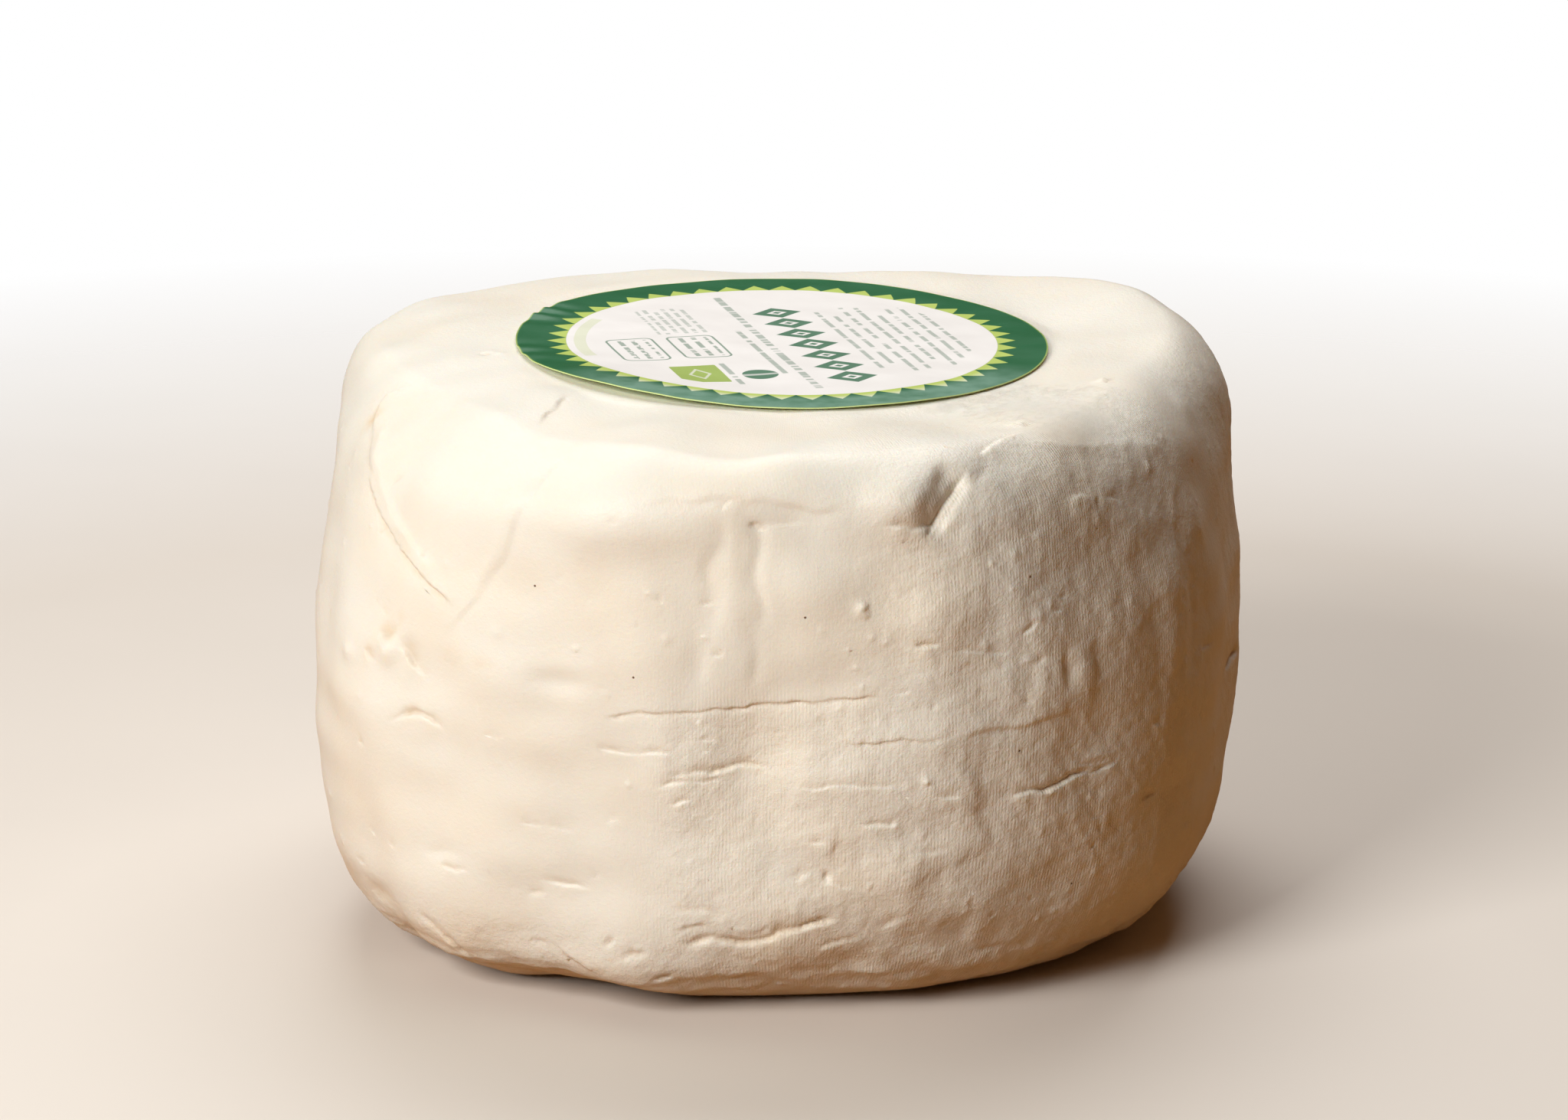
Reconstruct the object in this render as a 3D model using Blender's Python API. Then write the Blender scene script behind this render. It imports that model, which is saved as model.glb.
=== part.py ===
"""An aged ricotta: a low wheel pressed by hand in cloth, with a round paper label lying on its crown.

The wheel is a grid of rings bent into shape by a few radii, then worked over with the folds, dents and
lumps that the cloth and the hands left in it. Units are metres, +Z is up, and the wheel stands on z = 0.
Places in the tables are in degrees round the wheel, counted from +X, and in millimetres.
"""

import math

import bpy
import numpy as np

MM = 0.001

# The wheel's driving dimensions.
WHEEL_HEIGHT = 109.6 * MM
BELLY_HEIGHT = 49.0 * MM  # level at which the wheel is widest
BROW_RADIUS = 86.9 * MM  # where the wall would meet the crown if that corner were sharp
BELLY_RADIUS = 92.8 * MM
FOOT_RADIUS = 86.8 * MM  # where the wall would meet the base if that corner were sharp
WALL_CURVE_ABOVE = 2.36  # power of the draw-in from the belly to the brow
WALL_CURVE_BELOW = 1.38  # power of the draw-in from the belly to the foot
SHOULDER_REACH = 11.5 * MM  # width of the rounded top corner, seen from above
SHOULDER_DROP = 14.0 * MM
FOOT_REACH = 23.0 * MM
FOOT_RISE = 26.0 * MM
RIM_SLOPE = (0.015, 0.009)  # rise of the crown's rim for each metre along X and Y
SEAT_SLOPE = (-0.018, 0.018)  # the same for the seat under the label, which leans its own way
SEAT_OUT_TO = 84.0 * MM  # distance from the label's centre at which the seat has run out into the rim
ROUND_CORNER = math.sqrt(0.5)  # weight that bends a corner into a circle's quarter

# Hand pressing leaves each level out of round: (crests round the ring, depth in mm, degrees of a crest).
BROW_LOBES = ((1, 0.6, 96), (3, 8.6, 33), (4, 1.7, -44))
BELLY_LOBES = ((1, 1.3, -18), (2, 1.9, 68), (3, 2.3, -14.5), (4, 3.8, 32))
FOOT_LOBES = ((1, 1.3, -159), (2, 1.5, 69), (3, 2.4, -26), (4, 0.9, 44))

# One stretch of the foot stands a little clear of the table.
LIFT_FROM, LIFT_TO = 229.0, 257.0
LIFT_HEIGHT = 1.6 * MM
LIFT_INSET = 9.0 * MM  # how far in under the foot the gap runs
LIFT_FADE = 12.0 * MM  # height over which the lift dies out up the foot

# The paper label.
LABEL_CENTRE = (1.0 * MM, 6.0 * MM)
LABEL_RADIUS = 52.4 * MM
LABEL_THICKNESS = 0.3 * MM
LABEL_GAP = 0.3 * MM
LABEL_WAVE = 0.35 * MM
LABEL_WAVES = 5.0  # crests round the label's edge
LABEL_WAVE_TURN = 1.0  # radians that the crests are turned by
LABEL_RING = 0.82  # the green border runs outwards from this share of the radius
LABEL_CURL_AT = 235.0  # direction in which the paper's edge has come loose
LABEL_CURL_SPREAD = 46.0
LABEL_CURL_INSET = 22.0 * MM
LABEL_CURL_HEIGHT = 2.7 * MM
LABEL_COLUMNS = 72
PRESSED_RIM = 1.0 * MM  # the seat stays true this far out beyond the paper
LABEL_RINGS = (0.30, 0.60, LABEL_RING, 0.90, 0.95, 1.0)

# Fineness of the grid before it is thinned out, and the faces left after.
COLUMNS = 300
FOOT_RINGS = 18
WALL_RINGS = 62
SHOULDER_RINGS = 16
CROWN_RINGS = 44
WHEEL_FACES = 8800
BASE_SNAP = 0.04 * MM
SHARP_ANGLE = math.radians(60.0)

# The skin stays plain next to the base and round the label, and its relief grows over these distances.
RELIEF_OVER_BASE = 6.0 * MM
RELIEF_FROM_LABEL, RELIEF_FULL_FROM_LABEL = 0.5 * MM, 5.0 * MM

# Folds in the wall: (degrees, mm up) along the line, then in mm the groove's depth and half width, and how
# far the skin stands proud on the line's left (above, where it runs with the degrees) and on its right.
WALL_FOLDS = (
    # The long crease across the front, its upper skin lapping over the lower.
    (((249.7, 60.7), (255.8, 62.6), (267.9, 64.3), (276.8, 65.2), (282.6, 66.3)), 0.55, 0.8, 0.35, 0.0),
    (((248.3, 54.8), (252.4, 54.6), (258.8, 55.2)), 0.40, 0.7, 0.1, 0.1),
    # The bundle of short strong folds below it.
    (((256.7, 50.8), (260.2, 51.8), (264.4, 52.8), (269.7, 52.1)), 0.85, 0.9, 0.1, 0.4),
    (((255.3, 47.1), (258.3, 49.8), (263.8, 50.3)), 0.60, 0.8, 0.0, 0.3),
    (((256.7, 45.3), (261.0, 46.6)), 0.40, 0.7, 0.0, 0.2),
    (((277.0, 57.8), (280.9, 57.4), (283.1, 58.2), (290.6, 57.8)), 0.50, 0.8, 0.0, 0.3),
    (((279.5, 42.1), (283.5, 41.7)), 0.50, 0.8, 0.1, 0.3),
    # The crease on the right, with a bright lower lip.
    (((297.1, 45.6), (301.7, 45.7), (306.0, 46.2), (312.9, 47.9)), 0.95, 0.9, 0.0, 0.5),
    (((298.6, 75.9), (300.8, 78.0)), 0.70, 0.8, 0.0, 0.2),
    # The hooked crease on the left, with a swelling inside it.
    (((222.1, 53.7), (223.9, 55.9), (226.3, 57.5), (229.3, 55.0)), 0.75, 0.9, 0.0, 0.6),
    (((220.2, 70.4), (221.4, 70.2), (222.6, 71.8)), 1.10, 0.9, 0.3, 0.5),
    (((222.4, 70.8), (224.4, 67.9), (225.8, 64.2)), 0.60, 0.9, 0.0, 0.8),
    # The flap whose curved edge runs down the left shoulder, and a soft edge down from the brow beside it.
    (
        ((203.0, 100.0), (207.0, 96.0), (210.9, 92.8), (219.3, 87.3), (226.3, 81.7), (231.4, 78.0)),
        0.45, 0.9, 0.8, 0.0,
    ),
    (((240.3, 107.0), (239.2, 101.9), (236.6, 89.0), (234.5, 79.6), (231.0, 71.0)), 0.10, 1.4, 0.0, 0.3),
    # The thumb-wide ridge under the brow: a groove down each side and an arch over it.
    (((263.7, 101.0), (263.1, 95.0), (262.8, 88.0), (261.4, 76.0)), 0.30, 1.9, 0.0, 0.0),
    (((267.6, 101.0), (268.0, 95.0), (267.6, 88.0), (268.0, 76.0)), 0.40, 1.8, 0.0, 0.0),
    (((253.5, 101.3), (257.2, 101.9), (265.3, 103.3), (273.7, 102.1), (279.0, 101.0)), 0.15, 1.6, 0.3, 0.0),
    # The deep dimple under the brow, with the lip that runs out of its foot.
    (((293.0, 104.8), (291.6, 102.8), (289.9, 100.0), (288.9, 98.2), (287.6, 95.4)), 1.00, 1.2, 1.2, 0.0),
    (((291.4, 103.8), (289.6, 101.2), (288.2, 99.0), (286.8, 96.4)), 2.20, 2.5, 0.0, 0.0),
    (((288.6, 96.6), (286.2, 97.4), (284.2, 97.9), (281.8, 98.3)), 0.55, 0.9, 0.5, 0.0),
    # The ledge that the cloth's edge pressed along the right shoulder.
    (((294.0, 106.6), (297.5, 108.3), (300.8, 109.0), (305.0, 109.3)), 0.30, 0.8, 0.0, 0.4),
    (
        ((303.0, 108.0), (307.8, 107.1), (313.4, 105.9), (322.8, 103.3), (331.0, 100.2)),
        0.0, 1.4, 0.3, 0.0,
    ),
    # A soft upright pleat on the right, a step beside it, and the facet that the cloth's hem left
    # further round.
    (((305.0, 74.0), (304.8, 68.3), (304.3, 62.5)), 0.50, 1.6, 0.3, 0.0),
    (((292.5, 57.0), (293.8, 46.0), (294.5, 32.0)), 0.0, 4.2, 0.0, 0.7),
    (((332.0, 96.0), (329.0, 90.0), (326.9, 83.0), (324.7, 72.4)), 0.0, 1.5, 0.0, 0.25),
    # Folds pressed into the foot.
    (((257.9, 17.1), (265.3, 18.0), (270.8, 20.3), (277.8, 22.5)), 1.30, 1.0, 0.0, 0.5),
    (((257.6, 20.9), (262.0, 19.8), (270.1, 21.1)), 0.60, 0.9, 0.2, 0.0),
    (((249.0, 16.2), (249.5, 13.2), (254.0, 15.7)), 0.80, 0.9, 0.0, 0.3),
    (((253.2, 9.7), (257.1, 11.1), (260.5, 12.5)), 0.60, 0.9, 0.0, 0.3),
    (((262.2, 7.0), (265.8, 9.5), (268.5, 10.2)), 0.45, 0.9, 0.0, 0.2),
    (((275.4, 16.4), (277.9, 18.6), (281.7, 19.5)), 0.45, 0.9, 0.0, 0.2),
    (((224.4, 16.5), (228.3, 11.5), (230.9, 5.4)), 0.70, 1.2, 0.0, 0.5),
    (((241.0, 27.9), (247.8, 27.1)), 0.40, 1.0, 0.0, 0.3),
)

# Cracks in the crown: (degrees, mm from the middle) along the line, then as for the wall.
CROWN_FOLDS = (
    (((223.0, 52.5), (225.0, 56.0), (230.0, 66.0), (231.5, 72.1)), 0.50, 0.6, 0.0, 0.3),
    (((184.0, 58.0), (186.5, 55.5)), 0.60, 1.0, 0.2, 0.0),
    (((337.0, 68.5), (341.0, 66.5)), 0.50, 0.9, 0.3, 0.0),
)

# Broad low swells and hollows where the hands turned and pressed the wheel: degrees, mm up, height in mm, and
# half width round and up the wheel.
HAND_PRESSES = (
    # The brow stands out left of the middle, and the wall is drawn in under it in the middle.
    (250.0, 100.0, 2.9, 14.0, 8.0),
    (236.0, 97.5, 2.1, 12.0, 7.0),
    (223.0, 96.0, 1.1, 12.0, 6.5),
    (210.0, 97.0, 1.7, 8.0, 7.0),
    (271.0, 97.5, -3.3, 11.0, 8.0),
    (270.0, 81.0, -0.9, 5.0, 10.0),
    (256.0, 78.0, 1.3, 8.0, 17.0),
    # A broad rib right of the middle, with a flatter face turned away to its right.
    (288.0, 79.0, 1.6, 7.5, 9.0),
    (288.5, 58.0, 1.9, 8.5, 12.0),
    (284.0, 31.0, 1.3, 6.0, 6.0),
    (308.0, 45.0, -1.5, 10.0, 15.0),
    (306.0, 24.0, -1.2, 11.0, 9.0),
    # The slanting ridge on the far right.
    (324.0, 70.0, 1.5, 6.0, 12.0),
    (332.0, 86.0, 1.4, 7.0, 9.0),
    (335.0, 98.0, 1.0, 15.0, 8.0),
    # The palm's hollow low on the left.
    (235.0, 46.0, -2.1, 25.0, 20.0),
    (226.0, 64.0, -1.1, 10.0, 7.0),
    (243.0, 62.0, -0.9, 7.0, 7.0),
    (246.0, 25.0, -1.1, 14.0, 7.0),
    (267.0, 54.0, -1.5, 7.0, 9.0),
    (262.0, 42.0, -1.0, 12.0, 8.0),
    (292.0, 16.0, -1.1, 8.0, 6.0),
    (250.0, 10.0, 1.7, 30.0, 7.0),
)

# Smaller swellings and dents in the wall, in the same numbers.
WALL_SWELLS = (
    (284.2, 101.6, 2.2, 6.2, 5.2),  # the cushion beside the deep dimple
    (265.0, 89.0, 0.3, 2.2, 12.0),  # the thumb-wide ridge
    (244.2, 66.9, -0.6, 6.5, 2.6),  # a shallow dimple
    (226.2, 53.0, 0.4, 3.6, 2.6),
    (222.4, 66.6, 0.5, 2.2, 2.6),
    (307.2, 64.0, 0.4, 2.2, 4.6),  # crest beside the upright pleat
    (294.8, 17.8, 0.7, 2.2, 3.6),  # a lump low on the right
    (276.0, 31.2, -0.9, 1.6, 1.8),
    (279.5, 82.8, 0.6, 1.5, 1.7),  # a clinging flake
    (215.8, 16.3, -0.8, 4.0, 3.0),
    (350.0, 45.0, -1.2, 16.0, 18.0),
    (20.0, 70.0, -0.9, 14.0, 16.0),
    (48.0, 30.0, 0.9, 12.0, 9.0),
    (75.0, 82.0, -1.3, 9.0, 8.0),
    (112.0, 56.0, -1.0, 20.0, 8.0),
    (150.0, 84.0, 1.0, 12.0, 9.0),
    (172.0, 40.0, -0.9, 12.0, 14.0),
)

# Swellings and dents in the crown: degrees, mm from the middle, height in mm, half width in mm.
CROWN_SWELLS = (
    (322.0, 78.0, -1.4, 20.0),
    (63.0, 80.0, -0.9, 17.0),
    (28.0, 84.0, 0.5, 13.0),
    (170.0, 78.0, -0.5, 14.0),
    (300.0, 70.0, -0.4, 9.0),
)

# Folds scattered round the unseen side, like those in front.
BACK_FOLD_SEED = 11
BACK_FOLDS = 14
BACK_FROM, BACK_TO = 352.0, 555.0

# The slow unevenness of the whole skin: wavelength, height and random seed.
LUMPS = ((34.0 * MM, 0.35 * MM, 3), (15.0 * MM, 0.12 * MM, 4))
WAVES_IN_A_LUMP = 14

SKIN_COLOUR = (0.90, 0.81, 0.67, 1.0)
SKIN_ROUGHNESS = 0.5
PRINT_GREEN = (0.045, 0.18, 0.08, 1.0)
PAPER_WHITE = (0.90, 0.88, 0.84, 1.0)
PAPER_ROUGHNESS = 0.35


def smooth_step(low, high, value):
    """0 below low, 1 above high, and an easy slope between them."""
    share = np.clip((value - low) / (high - low), 0.0, 1.0)
    return share * share * (3.0 - 2.0 * share)


def lobes(angle, ring):
    """How far a ring stands out of round at each angle."""
    total = np.zeros_like(angle)
    for crests, depth, crest_at in ring:
        total = total + depth * MM * np.cos(crests * (angle - math.radians(crest_at)))
    return total


def wall_radius(angle, height):
    """Plan radius of the wall, corners left sharp: widest at the belly and drawn in above and below."""
    brow = BROW_RADIUS + lobes(angle, BROW_LOBES)
    belly = BELLY_RADIUS + lobes(angle, BELLY_LOBES)
    foot = FOOT_RADIUS + lobes(angle, FOOT_LOBES)
    above = np.clip((height - BELLY_HEIGHT) / (WHEEL_HEIGHT - BELLY_HEIGHT), 0.0, 1.0)
    below = np.clip((BELLY_HEIGHT - height) / BELLY_HEIGHT, 0.0, 1.0)
    return belly + (brow - belly) * above**WALL_CURVE_ABOVE + (foot - belly) * below**WALL_CURVE_BELOW


def wall_carried_on(angle, height, to_height):
    """Radius that the wall would reach at another height if it went straight on from this one."""
    step = 0.5 * MM
    lean = (wall_radius(angle, height + step) - wall_radius(angle, height - step)) / (2.0 * step)
    return wall_radius(angle, height) + lean * (to_height - height)


def corner(start, sharp, end, rings):
    """Rings (radius, height) of a rounded corner from start to end; sharp is where the two would meet."""
    made = []
    for t in np.linspace(0.0, 1.0, rings):
        weights = ((1.0 - t) ** 2, 2.0 * ROUND_CORNER * t * (1.0 - t), t * t)
        total = sum(weights)
        made.append(
            tuple(
                sum(weight * point[axis] for weight, point in zip(weights, (start, sharp, end))) / total
                for axis in (0, 1)
            )
        )
    return made


def bare_rings(angle):
    """The wheel without its relief: rings (radius, height) from inside the base up and in over the crown."""
    level = np.ones_like(angle)
    brow_height = WHEEL_HEIGHT - SHOULDER_DROP
    foot_corner = wall_carried_on(angle, FOOT_RISE, 0.0)
    brow_corner = wall_carried_on(angle, brow_height, WHEEL_HEIGHT)
    base_edge = foot_corner - FOOT_REACH
    crown_edge = brow_corner - SHOULDER_REACH
    rings = [(base_edge * 0.5, 0.0 * level)]
    for inset in np.linspace(LIFT_INSET, 0.0, 4)[:-1]:
        rings.append((base_edge - inset, 0.0 * level))
    rings += corner(
        (base_edge, 0.0 * level),
        (foot_corner, 0.0 * level),
        (wall_radius(angle, FOOT_RISE * level), FOOT_RISE * level),
        FOOT_RINGS,
    )
    for height in np.linspace(FOOT_RISE, brow_height, WALL_RINGS)[1:-1]:
        rings.append((wall_radius(angle, height * level), height * level))
    rings += corner(
        (wall_radius(angle, brow_height * level), brow_height * level),
        (brow_corner, WHEEL_HEIGHT * level),
        (crown_edge, WHEEL_HEIGHT * level),
        SHOULDER_RINGS,
    )
    for share in np.linspace(1.0, 0.0, CROWN_RINGS)[1:-1]:
        rings.append((crown_edge * share, WHEEL_HEIGHT * level))
    return rings, base_edge


def foot_lift(angle):
    """How far the foot stands off the table at each angle."""
    degrees = np.degrees(angle) % 360.0
    middle = 0.5 * (LIFT_FROM + LIFT_TO)
    share = np.clip(1.0 - np.abs(degrees - middle) / (0.5 * (LIFT_TO - LIFT_FROM)), 0.0, 1.0)
    return LIFT_HEIGHT * smooth_step(0.0, 0.6, share)


def crown_rise(x, y):
    """Height that the crown's slopes add at a point in plan: the label's seat, run out into the rim."""
    rim = RIM_SLOPE[0] * x + RIM_SLOPE[1] * y
    from_x = x - LABEL_CENTRE[0]
    from_y = y - LABEL_CENTRE[1]
    seat = SEAT_SLOPE[0] * from_x + SEAT_SLOPE[1] * from_y
    share = smooth_step(LABEL_RADIUS + PRESSED_RIM, SEAT_OUT_TO, np.hypot(from_x, from_y))
    return seat + (rim - seat) * share


def bare_skin():
    """The rings as a grid of points, rings by columns, and the outward normal at each."""
    angle = np.linspace(0.0, 2.0 * math.pi, COLUMNS, endpoint=False)
    rings, base_edge = bare_rings(angle)
    radius = np.array([ring[0] for ring in rings])
    height = np.array([ring[1] for ring in rings])
    under_foot = smooth_step(0.0, LIFT_INSET, radius - (base_edge - LIFT_INSET))
    height = height + foot_lift(angle) * under_foot * (1.0 - smooth_step(0.0, LIFT_FADE, height))
    x = radius * np.cos(angle)
    y = radius * np.sin(angle)
    height = height + crown_rise(x, y) * (height / WHEEL_HEIGHT) ** 2
    points = np.stack([x, y, height], axis=-1)
    around = np.roll(points, -1, axis=1) - np.roll(points, 1, axis=1)
    upward = np.gradient(points, axis=0)
    normals = np.cross(around, upward)
    normals /= np.linalg.norm(normals, axis=-1, keepdims=True)
    return points, normals


def skin_place(points, degrees, height):
    """Point of the wall at an angle and a height, both read off the grid."""
    column = int(round(degrees / 360.0 * COLUMNS)) % COLUMNS
    line = points[:, column]
    wall = slice(int(np.argmax(line[:, 2] > 0.5 * MM)), int(np.argmax(line[:, 2])) + 1)
    radius = np.interp(height * MM, line[wall, 2], np.hypot(line[wall, 0], line[wall, 1]))
    turn = math.radians(degrees)
    return np.array([radius * math.cos(turn), radius * math.sin(turn), height * MM])


def crown_place(degrees, reach):
    """Point of the crown at an angle and a distance from the middle."""
    turn = math.radians(degrees)
    x = reach * MM * math.cos(turn)
    y = reach * MM * math.sin(turn)
    return np.array([x, y, WHEEL_HEIGHT + crown_rise(x, y)])


def eased(path, passes=2):
    """The path with its bends cut back, so that a fold runs in a curve through its few points."""
    path = np.array(path, dtype=float)
    for _ in range(passes):
        cut = np.empty((2 * (len(path) - 1), path.shape[1]))
        cut[0::2] = 0.75 * path[:-1] + 0.25 * path[1:]
        cut[1::2] = 0.25 * path[:-1] + 0.75 * path[1:]
        path = np.vstack([path[:1], cut, path[-1:]])
    return path


def fold_relief(points, normals, line, depth, half_width, above, below):
    """Relief of one fold: a groove along the line, the skin proud on one side of it, faded at both ends."""
    reach = 4.0 * half_width + 3.0 * MM
    near = np.all((points > line.min(axis=0) - reach) & (points < line.max(axis=0) + reach), axis=1)
    relief = np.zeros(len(points))
    if not near.any():
        return relief
    spots = points[near]
    facing = normals[near]
    lengths = np.linalg.norm(np.diff(line, axis=0), axis=1)
    nearest = np.full(len(spots), np.inf)
    side = np.zeros(len(spots))
    along = np.zeros(len(spots))
    for i, (start, end) in enumerate(zip(line[:-1], line[1:])):
        run = end - start
        share = np.clip((spots - start) @ run / (run @ run), 0.0, 1.0)
        away = spots - start - share[:, None] * run
        distance = np.linalg.norm(away, axis=1)
        left = np.cross(facing, run)
        closer = distance < nearest
        nearest[closer] = distance[closer]
        side[closer] = np.sign((away * left).sum(axis=1))[closer]
        along[closer] = (lengths[:i].sum() + share * lengths[i])[closer]
    total = lengths.sum()
    fade = min(5.0 * MM, 0.4 * total)
    ends = smooth_step(0.0, fade, along) * smooth_step(0.0, fade, total - along)
    across = nearest * side
    groove = depth * np.exp(-((across / half_width) ** 2))
    falling_off = np.exp(-nearest / (2.5 * half_width + 1.0 * MM))
    upper = smooth_step(-0.4 * half_width, 0.8 * half_width, across)
    lower = smooth_step(-0.4 * half_width, 0.8 * half_width, -across)
    relief[near] = ends * (falling_off * (above * upper + below * lower) - groove)
    return relief


def swell_relief(points, centre, height, half_round, half_up):
    """Relief of one swelling, or of a dent where height is below zero."""
    away = points - centre
    outward = np.array([centre[0], centre[1], 0.0])
    outward /= np.linalg.norm(outward)
    round_about = np.array([-outward[1], outward[0], 0.0])
    across = away @ round_about
    rest = np.linalg.norm(away - across[:, None] * round_about, axis=1)
    return height * np.exp(-((across / half_round) ** 2) - (rest / half_up) ** 2)


def lump_relief(points, wavelength, height, seed):
    """Slow unevenness: a few waves in random directions, added up."""
    draw = np.random.default_rng(seed)
    directions = draw.normal(size=(WAVES_IN_A_LUMP, 3))
    directions /= np.linalg.norm(directions, axis=1, keepdims=True)
    phases = draw.uniform(0.0, 2.0 * math.pi, WAVES_IN_A_LUMP)
    stretch = draw.uniform(0.7, 1.4, WAVES_IN_A_LUMP)
    waves = np.sin(points @ directions.T * (2.0 * math.pi / wavelength) * stretch + phases)
    return height * waves.sum(axis=1) / math.sqrt(0.5 * WAVES_IN_A_LUMP)


def back_folds():
    """Folds for the unseen side, drawn at random but always alike: mostly level, a few upright."""
    draw = np.random.default_rng(BACK_FOLD_SEED)
    folds = []
    for i in range(BACK_FOLDS):
        turn = BACK_FROM + (BACK_TO - BACK_FROM) * (i + draw.uniform(0.1, 0.9)) / BACK_FOLDS
        height = draw.uniform(12.0, 88.0)
        half_length = draw.uniform(3.0, 9.0)
        rise = draw.uniform(-2.0, 3.0)
        bow = draw.uniform(-1.5, 1.5)
        if i % 5 == 3:
            path = (
                (turn, height + 2.0 * half_length),
                (turn + bow, height),
                (turn - bow, height - half_length),
            )
        else:
            path = (
                (turn - half_length, height),
                (turn, height + bow),
                (turn + half_length, height + rise),
            )
        folds.append((path, draw.uniform(0.45, 1.0), draw.uniform(0.8, 1.4), 0.1, draw.uniform(0.2, 0.5)))
    return folds


def worked_skin(points, normals):
    """The bare skin with its folds, swellings and lumps; the base and the label's seat stay plain."""
    shape = points.shape
    grid = points
    points = points.reshape(-1, 3)
    normals = normals.reshape(-1, 3)
    relief = np.zeros(len(points))
    for path, depth, half_width, above, below in WALL_FOLDS + tuple(back_folds()):
        line = np.array([skin_place(grid, *place) for place in eased(path)])
        relief += fold_relief(points, normals, line, depth * MM, half_width * MM, above * MM, below * MM)
    for path, depth, half_width, above, below in CROWN_FOLDS:
        line = np.array([crown_place(*place) for place in eased(path)])
        relief += fold_relief(points, normals, line, depth * MM, half_width * MM, above * MM, below * MM)
    for degrees, height, rise, half_round, half_up in HAND_PRESSES + WALL_SWELLS:
        centre = skin_place(grid, degrees, height)
        relief += swell_relief(points, centre, rise * MM, half_round * MM, half_up * MM)
    for degrees, reach, rise, half in CROWN_SWELLS:
        relief += swell_relief(points, crown_place(degrees, reach), rise * MM, half * MM, half * MM)
    for wavelength, height, seed in LUMPS:
        relief += lump_relief(points, wavelength, height, seed)
    from_label = np.hypot(points[:, 0] - LABEL_CENTRE[0], points[:, 1] - LABEL_CENTRE[1])
    relief *= smooth_step(RELIEF_FROM_LABEL, RELIEF_FULL_FROM_LABEL, from_label - LABEL_RADIUS)
    over_base = points[:, 2] - foot_lift(np.arctan2(points[:, 1], points[:, 0]))
    relief *= smooth_step(0.0, RELIEF_OVER_BASE, over_base)
    return (points + normals * relief[:, None]).reshape(shape)


def closed_mesh(name, grid, first, last):
    """Mesh of a grid of rings by columns, closed by a fan round the first point and one round the last."""
    rings, columns, _ = grid.shape
    vertices = [tuple(first)] + [tuple(point) for point in grid.reshape(-1, 3)] + [tuple(last)]
    faces = []
    for column in range(columns):
        following = (column + 1) % columns
        faces.append((0, 1 + following, 1 + column))
        for ring in range(rings - 1):
            low = 1 + ring * columns
            high = low + columns
            faces.append((low + column, low + following, high + following, high + column))
        top = 1 + (rings - 1) * columns
        faces.append((top + column, top + following, len(vertices) - 1))
    mesh = bpy.data.meshes.new(name)
    mesh.from_pydata(vertices, [], faces)
    mesh.shade_smooth()
    return mesh


def new_object(name, mesh):
    made = bpy.data.objects.new(name, mesh)
    bpy.context.scene.collection.objects.link(made)
    return made


def finish(name, colour, roughness):
    """A plain Principled material."""
    material = bpy.data.materials.new(name)
    material.use_nodes = True
    shader = material.node_tree.nodes["Principled BSDF"]
    shader.inputs["Base Color"].default_value = colour
    shader.inputs["Roughness"].default_value = roughness
    shader.inputs["Metallic"].default_value = 0.0
    return material


def thin_out(wheel, faces_left):
    """Merge the even stretches into larger faces, so that the faces left gather in the folds and corners."""
    triangles = sum(len(face.vertices) - 2 for face in wheel.data.polygons)
    thinner = wheel.modifiers.new("thinner", "DECIMATE")
    thinner.ratio = faces_left / triangles
    depsgraph = bpy.context.evaluated_depsgraph_get()
    thinned = bpy.data.meshes.new_from_object(wheel.evaluated_get(depsgraph))
    wheel.modifiers.clear()
    fine = wheel.data
    wheel.data = thinned
    bpy.data.meshes.remove(fine)
    thinned.name = wheel.name
    for vertex in thinned.vertices:
        if vertex.co.z < BASE_SNAP:
            vertex.co.z = 0.0
    thinned.shade_smooth()
    thinned.set_sharp_from_angle(angle=SHARP_ANGLE)


def make_wheel():
    """The cheese itself, one solid."""
    grid = worked_skin(*bare_skin())
    base_middle = (0.0, 0.0, 0.0)
    crown_middle = (0.0, 0.0, WHEEL_HEIGHT + crown_rise(0.0, 0.0))
    wheel = new_object("cheese", closed_mesh("cheese", grid, base_middle, crown_middle))
    thin_out(wheel, WHEEL_FACES)
    wheel.data.materials.append(finish("skin", SKIN_COLOUR, SKIN_ROUGHNESS))
    return wheel


def label_height(x, y):
    """Height of the label's underside: laid on the crown, a little wavy, its edge curling up on one side."""
    reach = np.hypot(x, y)
    turn = np.arctan2(y, x)
    off_curl = np.abs((np.degrees(turn) - LABEL_CURL_AT + 180.0) % 360.0 - 180.0)
    curl = (1.0 - smooth_step(0.0, LABEL_CURL_SPREAD, off_curl)) * smooth_step(
        LABEL_RADIUS - LABEL_CURL_INSET, LABEL_RADIUS, reach
    )
    wave = (0.5 + 0.5 * np.sin(LABEL_WAVES * turn + LABEL_WAVE_TURN)) * (reach / LABEL_RADIUS) ** 3
    bed = WHEEL_HEIGHT + crown_rise(x + LABEL_CENTRE[0], y + LABEL_CENTRE[1])
    return bed + LABEL_GAP + LABEL_WAVE * wave + LABEL_CURL_HEIGHT * curl


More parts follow.
